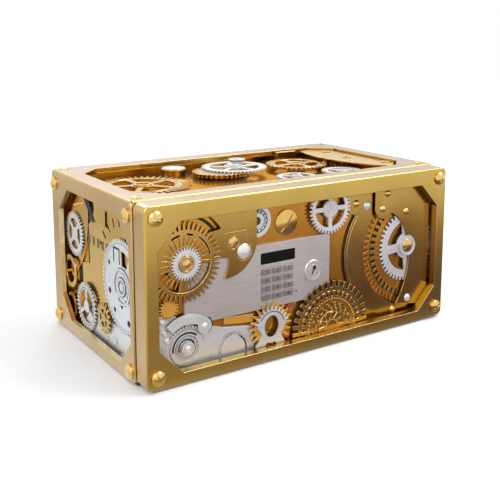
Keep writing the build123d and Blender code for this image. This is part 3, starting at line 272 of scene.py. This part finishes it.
def metal(name, bright, deep, edge_highlight, roughness, brush=ALL_WAYS, rise=0.00002, round_edge=0.0007, recess=0.6,
          shade_tint=(0.30, 0.14, 0.05), metallic=1.0, streak=0.05):
    """Material of one metal finish."""
    material = bpy.data.materials.new(name)
    material.use_nodes = True
    n = material.node_tree.nodes
    link = material.node_tree.links.new
    shader = n["Principled BSDF"]
    shader.inputs["Metallic"].default_value = metallic
    soft = n.new("ShaderNodeBevel")
    soft.samples = 6
    soft.inputs["Radius"].default_value = round_edge
    geometry = n.new("ShaderNodeNewGeometry")
    alike = n.new("ShaderNodeVectorMath")
    alike.operation = "DOT_PRODUCT"
    link(soft.outputs["Normal"], alike.inputs[0])
    link(geometry.outputs["True Normal"], alike.inputs[1])
    # Painted highlight mask: corners, where the rounded normal leaves the true normal
    corner = n.new("ShaderNodeMapRange")
    corner.inputs["From Min"].default_value = 0.995
    corner.inputs["From Max"].default_value = 0.86
    link(alike.outputs["Value"], corner.inputs["Value"])
    # Painted shade: ambient occlusion finds the recesses that are darkened
    hollow = n.new("ShaderNodeAmbientOcclusion")
    hollow.samples = 4
    hollow.inputs["Distance"].default_value = 0.012
    shade = n.new("ShaderNodeMapRange")
    shade.inputs["From Min"].default_value = 0.75
    shade.inputs["From Max"].default_value = 0.15
    shade.inputs["To Max"].default_value = recess
    link(hollow.outputs["AO"], shade.inputs["Value"])
    group = n.new("ShaderNodeGroup")
    group.node_tree = plated_metal
    group.inputs["Bright"].default_value = (*bright, 1)
    group.inputs["Deep"].default_value = (*deep, 1)
    group.inputs["Edge"].default_value = (*edge_highlight, 1)
    group.inputs["Tint"].default_value = (*shade_tint, 1)
    group.inputs["Roughness"].default_value = roughness
    group.inputs["Streak"].default_value = streak
    group.inputs["Brush Scale"].default_value = brush
    link(corner.outputs["Result"], group.inputs["Edge Mask"])
    link(shade.outputs["Result"], group.inputs["Recess"])
    link(group.outputs["Color"], shader.inputs["Base Color"])
    link(group.outputs["Roughness"], shader.inputs["Roughness"])
    bump = n.new("ShaderNodeBump")
    bump.inputs["Distance"].default_value = rise
    bump.inputs["Strength"].default_value = 0.6
    link(group.outputs["Height"], bump.inputs["Height"])
    link(soft.outputs["Normal"], bump.inputs["Normal"])
    link(bump.outputs["Normal"], shader.inputs["Normal"])
    return material


def coat(material, *names):
    """Give CAD nodes a finish."""
    for name in names:
        mesh = nodes[name].data
        mesh.materials.clear()
        mesh.materials.append(material)
        for face in mesh.polygons:
            face.material_index = 0


# Case and door frames
# Thick brass plates, plated in satin gold, with rounded outer edges and eight-sided windows.
frame_gold = metal("frame_gold", (0.70, 0.49, 0.13), (0.64, 0.43, 0.11), (0.84, 0.68, 0.38), 0.24, ALONG_X,
                   round_edge=0.0012)
coat(frame_gold, "door_frame", "top_frame", "back_panel", "front_jamb", "case_hinges", "door_hinges")
# Painted light: side faces get this greyer copy of the frame gold with a brighter edge colour; its brushing
# along the depth is real
side_gold_painted_light = metal("side_gold_painted_light", (0.68, 0.46, 0.22), (0.60, 0.40, 0.18), (0.96, 0.76, 0.44), 0.28, ALONG_Y,
                  round_edge=0.0012)
coat(side_gold_painted_light, "left_frame", "right_frame")
# Painted highlight: upward faces get this paler copy of the gold
top_gold_painted_highlight = metal("top_gold_painted_highlight", (0.60, 0.47, 0.35), (0.53, 0.41, 0.29), (0.84, 0.70, 0.46), 0.3, ALONG_X,
                  round_edge=0.0012)
# Painted highlight: the lower and rear window rims get this near-white copy of the gold
rim_gold_painted_highlight = metal("rim_gold_painted_highlight", (1.0, 0.84, 0.50), (0.92, 0.74, 0.40), (1.0, 0.92, 0.66), 0.3, ALONG_Y,
                 recess=0.1, metallic=0.5)
REAR_RIM = 0.13
DOOR_TOP = 0.2


def dress(name, base, *choices):
    """Give the faces that a test picks another material than the rest of a node: here a copy of the gold
    with painted light.
    """
    mesh = nodes[name].data
    coat(base, name)
    for number, (finish, chosen) in enumerate(choices, 1):
        mesh.materials.append(finish)
        for face in mesh.polygons:
            if chosen(face):
                face.material_index = number


def faces_up(face):
    """Upward faces, which get a painted highlight for the bright sky."""
    return face.normal.z > 0.8


def window_rim(face):
    """Lower and rear rims of a side window, which get a painted highlight."""
    lower = abs(face.normal.x) < 0.1 and 0.01 < face.center.z < 0.04 and face.normal.z > 0.9
    return lower or face.normal.y < -0.9 and face.center.y > REAR_RIM


# Painted light: side faces and the door's upper faces get lit copies of the gold
dress("door_frame", frame_gold, (side_gold_painted_light, lambda face: abs(face.normal.x) > 0.95),
      (top_gold_painted_highlight, lambda face: faces_up(face) and face.center.z > DOOR_TOP))
dress("top_frame", frame_gold, (top_gold_painted_highlight, faces_up))
for name in ("left_frame", "right_frame"):
    dress(name, side_gold_painted_light, (rim_gold_painted_highlight, window_rim))

# Gold ornament
# Gears, plates, screws and rivets in polished gold; the walls behind them are a deeper orange gold.
bright_gold = metal("bright_gold", (0.80, 0.52, 0.14), (0.62, 0.36, 0.07), (1.0, 0.80, 0.40), 0.16)
coat(bright_gold, "spoked_gear", "spiked_gear", "ornate_gear", "case_gears_gold")
plate_gold = metal("plate_gold", (0.66, 0.43, 0.12), (0.50, 0.30, 0.07), (0.95, 0.72, 0.33), 0.20, ALONG_X)
coat(plate_gold, "bracket_plate", "ring_plate", "cover_plate")
screw_gold = metal("screw_gold", (0.88, 0.62, 0.22), (0.78, 0.50, 0.15), (1.0, 0.86, 0.50), 0.14)
coat(screw_gold, "case_screws", "gold_fasteners")
orange_gold = metal("orange_gold", (0.82, 0.42, 0.07), (0.60, 0.26, 0.035), (0.98, 0.66, 0.22), 0.2, ALONG_X,
                    metallic=0.85)
coat(orange_gold, "backing_plate", "ring_gear")
amber_gold = metal("amber_gold", (1.0, 0.56, 0.10), (0.80, 0.40, 0.06), (1.0, 0.76, 0.30), 0.24, ALONG_X,
                   metallic=0.6)
coat(amber_gold, "small_gears")
wall_gold = metal("wall_gold", (0.85, 0.55, 0.14), (0.70, 0.40, 0.07), (1.0, 0.80, 0.40), 0.12, ALONG_X,
                  metallic=0.9)
wall_gold.node_tree.nodes["Principled BSDF"].inputs["Specular Tint"].default_value = (0.80, 0.52, 0.20, 1)
coat(wall_gold, "ornament_backings")

# Silver ornament
# Silver-plated gears, bridges and rivets with a fine brushed face.
silver = metal("silver", (0.82, 0.82, 0.84), (0.70, 0.70, 0.72), (0.95, 0.95, 0.97), 0.35, recess=0.9,
               shade_tint=(0.12, 0.12, 0.13), metallic=0.6)
coat(silver, "case_gears_silver", "toothed_disc", "bearing", "silver_spoked_gear", "half_gear", "eye_gear",
     "rotor_plate", "rotor_weight", "silver_rivets")

# Keypad panel
# Brushed stainless plate with satin keys, a black display window and a polished lock.
panel_steel = metal("panel_steel", (0.74, 0.68, 0.67), (0.66, 0.60, 0.59), (0.90, 0.88, 0.86), 0.36,
                    (30, 1500, 1500), 0.00016, shade_tint=(0.12, 0.12, 0.13), metallic=0.7, streak=0.2)
coat(panel_steel, "steel_panel")
key_steel = metal("key_steel", (0.42, 0.39, 0.38), (0.34, 0.31, 0.30), (0.70, 0.67, 0.65), 0.38,
                  (22, 3000, 3000), 0.00003, shade_tint=(0.12, 0.12, 0.13), metallic=0.8)
coat(key_steel, *[f"key_{number}" for number in range(1, 13)])
lock_steel = metal("lock_steel", (0.85, 0.80, 0.79), (0.75, 0.70, 0.69), (0.97, 0.95, 0.94), 0.25,
                   shade_tint=(0.12, 0.12, 0.13), metallic=0.7)
coat(lock_steel, "lock_escutcheon", "key_plug")


def plain(name, colour, dark, roughness, metallic, grain, rise, coat_weight=0.0):
    """Material with a fine grain for paint, glass, rubber and plastic."""
    material = bpy.data.materials.new(name)
    material.use_nodes = True
    n = material.node_tree.nodes
    link = material.node_tree.links.new
    shader = n["Principled BSDF"]
    shader.inputs["Metallic"].default_value = metallic
    shader.inputs["Coat Weight"].default_value = coat_weight
    place = n.new("ShaderNodeTexCoord")
    noise = n.new("ShaderNodeTexNoise")
    noise.inputs["Scale"].default_value = grain
    noise.inputs["Detail"].default_value = 4.0
    link(place.outputs["Object"], noise.inputs["Vector"])
    tone = n.new("ShaderNodeMix")
    tone.data_type = "RGBA"
    tone.inputs["A"].default_value = (*colour, 1)
    tone.inputs["B"].default_value = (*dark, 1)
    link(noise.outputs["Fac"], tone.inputs["Factor"])
    link(tone.outputs["Result"], shader.inputs["Base Color"])
    rough = n.new("ShaderNodeMapRange")
    rough.inputs["To Min"].default_value = roughness * 0.8
    rough.inputs["To Max"].default_value = min(1.0, roughness * 1.2)
    link(noise.outputs["Fac"], rough.inputs["Value"])
    link(rough.outputs["Result"], shader.inputs["Roughness"])
    bump = n.new("ShaderNodeBump")
    bump.inputs["Distance"].default_value = rise
    link(noise.outputs["Fac"], bump.inputs["Height"])
    link(bump.outputs["Normal"], shader.inputs["Normal"])
    return material


black_glass = plain("black_glass", (0.006, 0.006, 0.007), (0.010, 0.010, 0.010), 0.12, 0.0, 300, 0.000002)
black_glass.node_tree.nodes["Principled BSDF"].inputs["Specular IOR Level"].default_value = 0.08
coat(black_glass, "display_window")

# Cabinet and boltwork
# Painted steel box with suede lining; the boltwork behind the door is zinc-plated steel.
black_paint = plain("black_paint", (0.018, 0.018, 0.02), (0.04, 0.04, 0.042), 0.5, 0.0, 900, 0.00008)
coat(black_paint, "base_plate", "inner_cabinet", "door_plate", "bolt_housing")
suede = plain("suede", (0.075, 0.04, 0.022), (0.13, 0.075, 0.04), 0.95, 0.0, 2200, 0.0003)
suede.node_tree.nodes["Principled BSDF"].inputs["Sheen Weight"].default_value = 0.6
coat(suede, "lining", "shelf")
zinc = metal("zinc", (0.55, 0.55, 0.56), (0.45, 0.45, 0.47), (0.8, 0.8, 0.82), 0.32)
coat(zinc, "bolt_carriage", "locking_bolts", "motor_pinion", "motor")
board_green = plain("board_green", (0.01, 0.10, 0.03), (0.02, 0.14, 0.05), 0.45, 0.0, 400, 0.00002)
coat(board_green, "keypad_board")
black_plastic = plain("black_plastic", (0.02, 0.02, 0.022), (0.035, 0.035, 0.037), 0.45, 0.0, 1200, 0.00004)
coat(black_plastic, "battery_pack")
rubber = plain("rubber", (0.02, 0.02, 0.02), (0.04, 0.04, 0.04), 0.85, 0.0, 1500, 0.0001)
coat(rubber, "feet")


# Planes of the ornament
# Each turns measures taken on a wall (right, up and out from it, in mm) into the shared frame.
MM_SCALE = Matrix.Scale(MM, 4)
DOOR_LINE = -0.135
BACKING = -0.1435
SIDE_PLATE = 0.262
TOP_FLOOR = 0.241
FRONT_WALL = Matrix(((1, 0, 0, 0), (0, 0, -1, BACKING), (0, 1, 0, 0), (0, 0, 0, 1))) @ MM_SCALE
LEFT_WALL = Matrix(((0, 0, -1, -SIDE_PLATE), (-1, 0, 0, DOOR_LINE), (0, 1, 0, 0), (0, 0, 0, 1))) @ MM_SCALE
RIGHT_WALL = Matrix(((0, 0, 1, SIDE_PLATE), (1, 0, 0, DOOR_LINE), (0, 1, 0, 0), (0, 0, 0, 1))) @ MM_SCALE
TOP_WALL = Matrix(((1, 0, 0, 0), (0, 1, 0, DOOR_LINE), (0, 0, 1, TOP_FLOOR), (0, 0, 0, 1))) @ MM_SCALE


def piece(name, mesh, wall, material, body, smooth=False):
    """Place a mesh drawn on a wall, give it its finish and let it ride with a body."""
    mesh.transform(wall)
    if wall.determinant() < 0:
        mesh.flip_normals()
    mesh.materials.clear()
    mesh.materials.append(material)
    for face in mesh.polygons:
        face.use_smooth = smooth
    obj = bpy.data.objects.new(name, mesh)
    bpy.context.scene.collection.objects.link(obj)
    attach(obj, body)
    return obj


def band(bm, centre, inner, outer, low, high, start=0, end=360, steps=72):
    """Flat ring, or a part of one, between two levels."""
    whole = end - start >= 360
    count = steps if whole else steps + 1
    rings = []
    for number in range(count):
        angle = math.radians(start + (end - start) * number / steps)
        across, up = math.cos(angle), math.sin(angle)
        rings.append([bm.verts.new((centre[0] + across * radius, centre[1] + up * radius, level))
                      for radius, level in ((inner, low), (outer, low), (outer, high), (inner, high))])
    for number in range(steps):
        near, far = rings[number], rings[(number + 1) % count]
        for corner in range(4):
            bm.faces.new((near[corner], near[(corner + 1) % 4], far[(corner + 1) % 4], far[corner]))
    if not whole:
        bm.faces.new(rings[0][::-1])
        bm.faces.new(rings[-1])


def bands(name, wall, material, body, shapes):
    """One piece from flat rings: centre, inner and outer radius, low and high level, start and end angle."""
    bm = bmesh.new()
    for shape in shapes:
        band(bm, *shape)
    bmesh.ops.recalc_face_normals(bm, faces=bm.faces)
    mesh = bpy.data.meshes.new(name)
    bm.to_mesh(mesh)
    bm.free()
    return piece(name, mesh, wall, material, body)


def slabs(name, wall, material, body, shapes):
    """One piece from several straight-edged plates: outline, low level, high level."""
    bm = bmesh.new()
    for outline, low, high in shapes:
        below = [bm.verts.new((right, up, low)) for right, up in outline]
        above = [bm.verts.new((right, up, high)) for right, up in outline]
        bm.faces.new(below[::-1])
        bm.faces.new(above)
        for number in range(len(outline)):
            after = (number + 1) % len(outline)
            bm.faces.new((below[number], below[after], above[after], above[number]))
    bmesh.ops.recalc_face_normals(bm, faces=bm.faces)
    mesh = bpy.data.meshes.new(name)
    bm.to_mesh(mesh)
    bm.free()
    return piece(name, mesh, wall, material, body)


def oblong(one_side, other_side, low, high):
    """Four corners of an upright rectangle."""
    left, right = sorted((one_side, other_side))
    return [(left, low), (right, low), (right, high), (left, high)]


# Beads set on an arc
# Balls of the race and rows of beads: a node tree repeats one ball along an arc.
def beads_tree():
    """Geometry nodes: balls spaced evenly from the right to the end of the sweep."""
    group = bpy.data.node_groups.new("beads_on_arc", "GeometryNodeTree")
    group.interface.new_socket(name="Count", in_out="INPUT", socket_type="NodeSocketInt")
    group.interface.new_socket(name="Arc Radius", in_out="INPUT", socket_type="NodeSocketFloat")
    group.interface.new_socket(name="Sweep", in_out="INPUT", socket_type="NodeSocketFloat")
    group.interface.new_socket(name="Bead Radius", in_out="INPUT", socket_type="NodeSocketFloat")
    group.interface.new_socket(name="Finish", in_out="INPUT", socket_type="NodeSocketMaterial")
    group.interface.new_socket(name="Geometry", in_out="OUTPUT", socket_type="NodeSocketGeometry")
    n = group.nodes
    link = group.links.new
    given = n.new("NodeGroupInput")
    arc = n.new("GeometryNodeCurveArc")
    link(given.outputs["Count"], arc.inputs["Resolution"])
    link(given.outputs["Arc Radius"], arc.inputs["Radius"])
    link(given.outputs["Sweep"], arc.inputs["Sweep Angle"])
    ball = n.new("GeometryNodeMeshIcoSphere")
    ball.inputs["Subdivisions"].default_value = 3
    link(given.outputs["Bead Radius"], ball.inputs["Radius"])
    repeat = n.new("GeometryNodeInstanceOnPoints")
    link(arc.outputs["Curve"], repeat.inputs["Points"])
    link(ball.outputs["Mesh"], repeat.inputs["Instance"])
    solid = n.new("GeometryNodeRealizeInstances")
    link(repeat.outputs["Instances"], solid.inputs["Geometry"])
    finish = n.new("GeometryNodeSetMaterial")
    link(solid.outputs["Geometry"], finish.inputs["Geometry"])
    link(given.outputs["Finish"], finish.inputs["Material"])
    result = n.new("NodeGroupOutput")
    link(finish.outputs["Geometry"], result.inputs["Geometry"])
    return group


beads_on_arc = beads_tree()


def beads(name, wall, material, body, centre, level, circle, radius, count, sweep):
    """Row of beads, baked from the node tree into a plain mesh."""
    host = bpy.data.objects.new(name + "_host", bpy.data.meshes.new(name + "_host"))
    bpy.context.scene.collection.objects.link(host)
    maker = host.modifiers.new("beads", "NODES")
    maker.node_group = beads_on_arc
    values = {"Count": count, "Arc Radius": circle, "Sweep": math.radians(sweep), "Bead Radius": radius,
              "Finish": material}
    for item in beads_on_arc.interface.items_tree:
        if item.in_out == "INPUT":
            maker[item.identifier] = values[item.name]
    mesh = bpy.data.meshes.new_from_object(host.evaluated_get(bpy.context.evaluated_depsgraph_get()))
    mesh.name = name
    bpy.data.objects.remove(host)
    mesh.transform(Matrix.Translation((centre[0], centre[1], level)))
    return piece(name, mesh, wall, material, body, smooth=True)


# Key legends
# Dark painted characters on the twelve keys; each rides with its own key.
LEGEND_SIZE = 8.2
LEGEND_RISE = 0.04
legend_black = plain("legend_black", (0.01, 0.01, 0.01), (0.02, 0.02, 0.02), 0.5, 0.0, 500, 0.00001)
for number, character in enumerate("123456789*0#", 1):
    low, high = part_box(f"key_{number}")
    text = bpy.data.curves.new(f"legend_{number}", "FONT")
    text.body = character
    text.size = LEGEND_SIZE
    text.extrude = LEGEND_RISE
    text.resolution_u = 4
    text.align_x = "CENTER"
    text.align_y = "CENTER"
    carrier = bpy.data.objects.new(f"legend_{number}_text", text)
    bpy.context.scene.collection.objects.link(carrier)
    mesh = bpy.data.meshes.new_from_object(carrier.evaluated_get(bpy.context.evaluated_depsgraph_get()))
    bpy.data.objects.remove(carrier)
    out = (BACKING - low.y) / MM + LEGEND_RISE
    mesh.transform(Matrix.Translation(((low.x + high.x) / 2 / MM, (low.z + high.z) / 2 / MM, out)))
    piece(f"legend_{number}", mesh, FRONT_WALL, legend_black, f"button_{number}")

# Keyway
# The plug has a key-shaped mouth of painted black shade and the lock cover a bright turned rim.
LOCK = (14.7, 120.5)
KEYWAY_LEAN = 65
PLUG_FACE = 7.38
lean = math.radians(KEYWAY_LEAN)
along = Vector((math.cos(lean), math.sin(lean)))
across = Vector((-along.y, along.x))
mouth = []
for forward, side in ((-8.0, 0.9), (0.5, 1.5), (3.5, 4.0), (8.0, 2.2),
                      (7.4, -2.2), (4.5, -3.2), (1.5, -1.6), (-8.0, -0.5)):
    spot = Vector(LOCK) + along * forward + across * side
    mouth.append((spot.x, spot.y))
# Painted shade: black for gaps, holes and grooves, where only shade would be
painted_shade_black = plain("painted_shade_black", (0.008, 0.006, 0.005), (0.02, 0.014, 0.01), 0.6, 0.0, 300, 0.00002)
slabs("keyway_mouth", FRONT_WALL, painted_shade_black, "key_cylinder",
      [(mouth, PLUG_FACE, PLUG_FACE + 0.08)])
bands("lock_rim", FRONT_WALL, lock_steel, "door", [(LOCK, 13.6, 15.2, 7.0, 7.6)])

# Painted shade under the gears
# Black plates lie under the teeth as painted shade, so the gaps between them read dark.
RING_CENTRE = (190.0, 129.0)
RING_EYE = (216.0, 129.5)
ORNATE = (49.0, 24.0)
BIG_GEAR = (-210.0, 169.0)
bands("ring_grooves", FRONT_WALL, painted_shade_black, "door",
      [(RING_EYE, 74.6, 84.9, 0.1, 1.2, 62, 298), (RING_EYE, 97.8, 99.3, 0.1, 0.6, 64, 296),
       (RING_CENTRE, 112.4, 115.4, 0.05, 0.3, 128, 222)])
bands("ornate_grooves", FRONT_WALL, painted_shade_black, "door",
      [(ORNATE, 63.5, 70.5, 5.0, 5.9, -12, 192), (ORNATE, 50.2, 55.0, 8.62, 8.8, -12, 192)])
bands("big_gear_grooves", FRONT_WALL, painted_shade_black, "door",
      [(BIG_GEAR, 43.0, 46.8, 6.4, 7.4, -40, 125), (BIG_GEAR, 62.0, 66.5, 0.1, 0.5, 30, 88)])

# Turned lines on hubs and plates
# Fine raised rings left by the lathe on the gear hubs, the ring plate and the bracket dome.
HALF_GEAR = (207.5, 131.5)
SILVER_GEAR = (45.0, 213.0)
BRACKET_DOME = (-111.8, 170.4)
BRACKET_SCREW = (-129.5, 185.5)
bands("gold_hub_lines", FRONT_WALL, screw_gold, "door",
      [(BIG_GEAR, 9.2, 10.2, 16.0, 16.5), (BIG_GEAR, 6.8, 7.6, 16.0, 16.4),
       (BIG_GEAR, 11.6, 12.6, 14.5, 15.0),
       (RING_CENTRE, 106.2, 107.2, 4.0, 4.4, 130, 226), (BIG_GEAR, 41.8, 42.6, 10.0, 10.4)])
bands("silver_hub_lines", FRONT_WALL, silver, "door",
      [(SILVER_GEAR, 4.6, 5.4, 10.6, 11.1), (SILVER_GEAR, 1.6, 2.6, 10.6, 11.1),
       (SILVER_GEAR, 10.4, 11.4, 9.6, 10.1),
       (HALF_GEAR, 15.2, 16.6, 10.9, 11.5), (BIG_GEAR, 15.0, 15.7, 14.5, 14.8)])
bands("bracket_rim", FRONT_WALL, screw_gold, "door",
      [(BRACKET_DOME, 13.2, 14.4, 7.2, 7.7, -150, 40), (BRACKET_SCREW, 9.0, 9.8, 7.2, 7.6)])

# Swinging weight and bridge of the automatic work
# A row of studs and black arcs of painted shade circle the weight's hub; the bridge has screws and engraved
# curves.
ROTOR = (-205.0, 44.0)
SECOND = (-131.0, 24.0)
WEIGHT_END = (-178.0, 72.0)
JEWEL = (-188.0, 50.0)
BRIDGE = 3.0
studs = [(ROTOR, 29.2, 33.0, BRIDGE, 5.6, angle, angle + 5.5, 3) for angle in range(44, 146, 9)]
studs += [(SECOND, 26.5, 29.0, BRIDGE, 4.4, angle, angle + 3.4, 2) for angle in range(20, 118, 6)]
bands("weight_studs", FRONT_WALL, silver, "door", studs)
# Painted shade: black arcs in the gaps round the hub and bridge
bands("weight_arcs", FRONT_WALL, painted_shade_black, "door",
      [(ROTOR, 21.0, 23.6, 4.5, 4.7, 48, 186), (ROTOR, 11.4, 13.4, BRIDGE, 3.2, 20, 200),
       (ROTOR, 34.4, 36.2, BRIDGE, 3.4, 66, 128), (SECOND, 22.6, 24.6, 4.9, 5.2, -8, 60),
       (SECOND, 16.0, 16.7, BRIDGE, 3.2, 20, 160), (WEIGHT_END, 12.2, 14.0, BRIDGE, 5.0, -62, 58)])
bands("weight_lines", FRONT_WALL, silver, "door",
      [(ROTOR, 46.0, 46.8, 8.0, 8.4, 46, 129), (ROTOR, 7.6, 8.8, 8.0, 8.6),
       (ROTOR, 14.4, 15.6, BRIDGE, 4.2), (ROTOR, 17.0, 17.6, BRIDGE, 4.2, 10, 200),
       (SECOND, 9.0, 10.0, BRIDGE, 3.9), (SECOND, 12.8, 13.5, BRIDGE, 3.7, -20, 200),
       (JEWEL, 4.6, 5.4, BRIDGE, 4.4), (JEWEL, 2.4, 3.1, BRIDGE, 4.4),
       ((-160, 27), 6.0, 6.7, BRIDGE, 3.5, 150, 330), ((-104, 46), 8.2, 9.0, BRIDGE, 3.6, -60, 150),
       ((-242, 76), 8.0, 8.7, BRIDGE, 3.6), ((-236, 50), 7.0, 7.6, BRIDGE, 3.5)])
bridge_screws = (((-243, 76), 3.6), ((-173, 60), 2.6), ((-166, 66), 2.6), ((-176, 52), 2.2),
                 ((-148, 30), 3.0), ((-158, 44), 2.2), ((-236, 50), 2.6), ((-232, 30), 3.2),
                 ((-150, 18), 2.4))
bands("bridge_screws", FRONT_WALL, silver, "door",
      [(spot, 0.2, radius, BRIDGE, 3.9, 0, 360, 24) for spot, radius in bridge_screws])

# Engraved silver eye
# Arcs of painted black shade follow the lids of the silver gear with the eye-shaped bore and a bright lip
# lines the bore.
EYE = (-64.5, 48.5)
EYE_LEVEL = 10.2
bands("eye_arcs", FRONT_WALL, painted_shade_black, "door",
      [(EYE, 22.2, 23.4, EYE_LEVEL, 10.35, 12, 150), ((EYE[0], EYE[1] - 40), 27.0, 28.6, 7.2, 7.6, 60, 120)])
bands("eye_lines", FRONT_WALL, silver, "door",
      [(EYE, 19.0, 20.2, EYE_LEVEL, 10.8, -60, 240),
       ((EYE[0] + 20, EYE[1]), 4.4, 5.2, EYE_LEVEL, 10.7, 60, 300),
       ((EYE[0] - 20, EYE[1]), 4.4, 5.2, EYE_LEVEL, 10.7, -120, 120)])

# Filigree on the thick ornate gear
# Rows of beads and a wreath of curls fill the turned hollow of the gear's upper half.
HALF_TURN = 180
RACE = (-87.5, 210.5)
RACE_BALLS = 14
CURL_PAIRS = 10
CURL_STEP = 20
CURL_FLOOR = 8.8
beads("ornate_beads", FRONT_WALL, bright_gold, "door", ORNATE, 10.3, 45.5, 1.5, 29,
      HALF_TURN)
beads("flower_beads", FRONT_WALL, bright_gold, "door", ORNATE, 10.8, 12.0, 1.3, 12,
      HALF_TURN)
beads("race_balls", FRONT_WALL, silver, "door", RACE, 4.0, 15.0, 2.2, RACE_BALLS,
      360 * (RACE_BALLS - 1) / RACE_BALLS)
curls = []
for number in range(CURL_PAIRS):
    turn = math.radians(number * CURL_STEP)
    for reach, size, offset in ((36.6, 3.4, 0), (29.4, 2.8, math.radians(CURL_STEP / 2))):
        spot = (ORNATE[0] + reach * math.cos(turn + offset), ORNATE[1] + reach * math.sin(turn + offset))
        lead = math.degrees(turn) + (0 if number % 2 else 180)
        curls.append((spot, size - 0.9, size, CURL_FLOOR, 10.0, lead, lead + 250, 14))
        curls.append((spot, 0.1, 0.9, CURL_FLOOR, 10.3, 0, 360, 8))
bands("ornate_curls", FRONT_WALL, bright_gold, "door", curls)

# Cut-outs in the side plates
# A row of dark brown slots on the plate face shows a hidden gear's teeth in painted shade.
# Black slots, a strip and a square are painted shade for the depth behind the gold side plates; both side
# walls have them.
shaded_teeth_brown = plain("shaded_teeth_brown", (0.10, 0.04, 0.012), (0.22, 0.10, 0.03), 0.3, 0.3, 160, 0.00002)
PLATE_FACE = 3.02
DISC_FACE = 7.0
for side, wall, sign in (("left", LEFT_WALL, -1), ("right", RIGHT_WALL, 1)):
    # Painted shade: black slots, a strip and a slanted patch
    black = [(oblong(sign * along, sign * (along + width), low, high), 0.05, 0.2)
             for along, width, low, high in
             ((216.6, 22, 80, 124), (113.2, 9.6, 198.2, 221.8), (186.6, 10, 124, 250))]
    slanted = [(sign * across, up) for across, up in ((205, 228), (186, 230), (158, 198), (172, 195))]
    black.append((slanted, PLATE_FACE, 3.1))
    slabs(f"{side}_slots", wall, painted_shade_black, "case", black)
    # Painted shade: dark brown slots stand for a hidden gear's teeth in shade
    row = [(oblong(sign * along, sign * (along + 8.5), 160, 174), PLATE_FACE, 3.1)
           for along in (96, 112, 129, 146, 163, 180)]
    slabs(f"{side}_row", wall, shaded_teeth_brown, "case", row)
    disc = (sign * 57, 125)
    wheel = (sign * 192, 57)
    inside = (-148, 148) if side == "right" else (32, 328)
    bands(f"{side}_disc_lines", wall, silver, "case",
          [(disc, 60.0, 61.0, DISC_FACE, 7.5, *inside), (disc, 24.0, 26.5, DISC_FACE, 8.8),
           (disc, 10.0, 13.0, DISC_FACE, 9.4), ((sign * 44, 108), 4.0, 7.0, DISC_FACE, 8.4),
           ((sign * 70, 112), 3.0, 6.0, DISC_FACE, 8.2)])
    # Painted shade: black rings in the disc's grooves and round the wheel
    bands(f"{side}_disc_grooves", wall, painted_shade_black, "case",
          [(disc, 26.6, 27.6, DISC_FACE, 7.1), (disc, 62.6, 63.2, DISC_FACE, 7.1, *inside),
           (disc, 13.2, 14.2, DISC_FACE, 7.1), (wheel, 12.6, 13.4, 8.8, 8.9), (wheel, 29.0, 30.2, 8.8, 8.9)])
    # Painted shade: a black square of bars on the disc
    bars = [(oblong(sign * near, sign * far, low, high), DISC_FACE, 7.15)
            for near, far, low, high in ((64, 86, 176, 179), (64, 67, 156, 176), (83, 86, 156, 176))]
    slabs(f"{side}_square", wall, painted_shade_black, "case", bars)
    bands(f"{side}_screws", wall, silver, "case",
          [((sign * along, up), 0.2, radius, 5.0, 6.4, 0, 360, 24) for along, up, radius in
           ((30, 44, 4.5), (52, 30, 3.5), (90, 34, 5.0), (120, 28, 3.2), (140, 44, 3.6), (70, 18, 3.0))])

# Rings on the wheels under the top window
# Turned rims, hubs and grooves of painted black shade on the large wheels that show from above.
SILVER_WHEEL = (5, 196)
DRUM = (-95, 228)
LEFT_WHEEL = (-190, 150)
RIGHT_WHEEL = (124, 178)
BRIDGE_SCREWS = ((236, 70), (226, 222), (216, 150))
bands("top_silver_lines", TOP_WALL, silver, "case",
      [(SILVER_WHEEL, 14.0, 17.0, 11.5, 13.0), (SILVER_WHEEL, 4.0, 8.0, 11.5, 14.0),
       (DRUM, 14.0, 16.0, 13.8, 14.4), ((62, 92), 5.0, 8.0, 5.0, 6.4), ((150, 84), 4.0, 7.0, 7.5, 8.6),
       ((40, 243), 3.0, 6.0, 15.0, 16.4)])
bands("top_gold_lines", TOP_WALL, screw_gold, "case",
      [(LEFT_WHEEL, 10.0, 14.0, 7.5, 9.5), (LEFT_WHEEL, 54.0, 56.0, 7.5, 8.2),
       (RIGHT_WHEEL, 9.0, 13.0, 8.5, 10.2), (RIGHT_WHEEL, 41.0, 43.0, 8.5, 9.2),
       *[(spot, 5.0, 8.0, 15.0, 16.4) for spot in BRIDGE_SCREWS]])
# Painted shade: black rings in the grooves
bands("top_grooves", TOP_WALL, painted_shade_black, "case",
      [(SILVER_WHEEL, 44.5, 50.0, 9.1, 9.5), (DRUM, 21.2, 24.0, 0.1, 0.4),
       ((-32, 183), 46.5, 50.0, 0.1, 0.4)])

# Copper studs beside the eye
# Two small copper studs show between the eye gear and the ornate gear.
copper = metal("copper", (0.75, 0.22, 0.08), (0.55, 0.14, 0.05), (0.95, 0.50, 0.25), 0.25, metallic=0.8)
bands("copper_studs", FRONT_WALL, copper, "door",
      [((-29.5, 69), 0.2, 4.0, 0.1, 4.0, 0, 360, 24), ((-33, 27), 0.2, 6.0, 0.1, 4.0, 0, 360, 24)])

bpy.context.scene.view_settings.view_transform = "Standard"
bpy.context.view_layer.update()
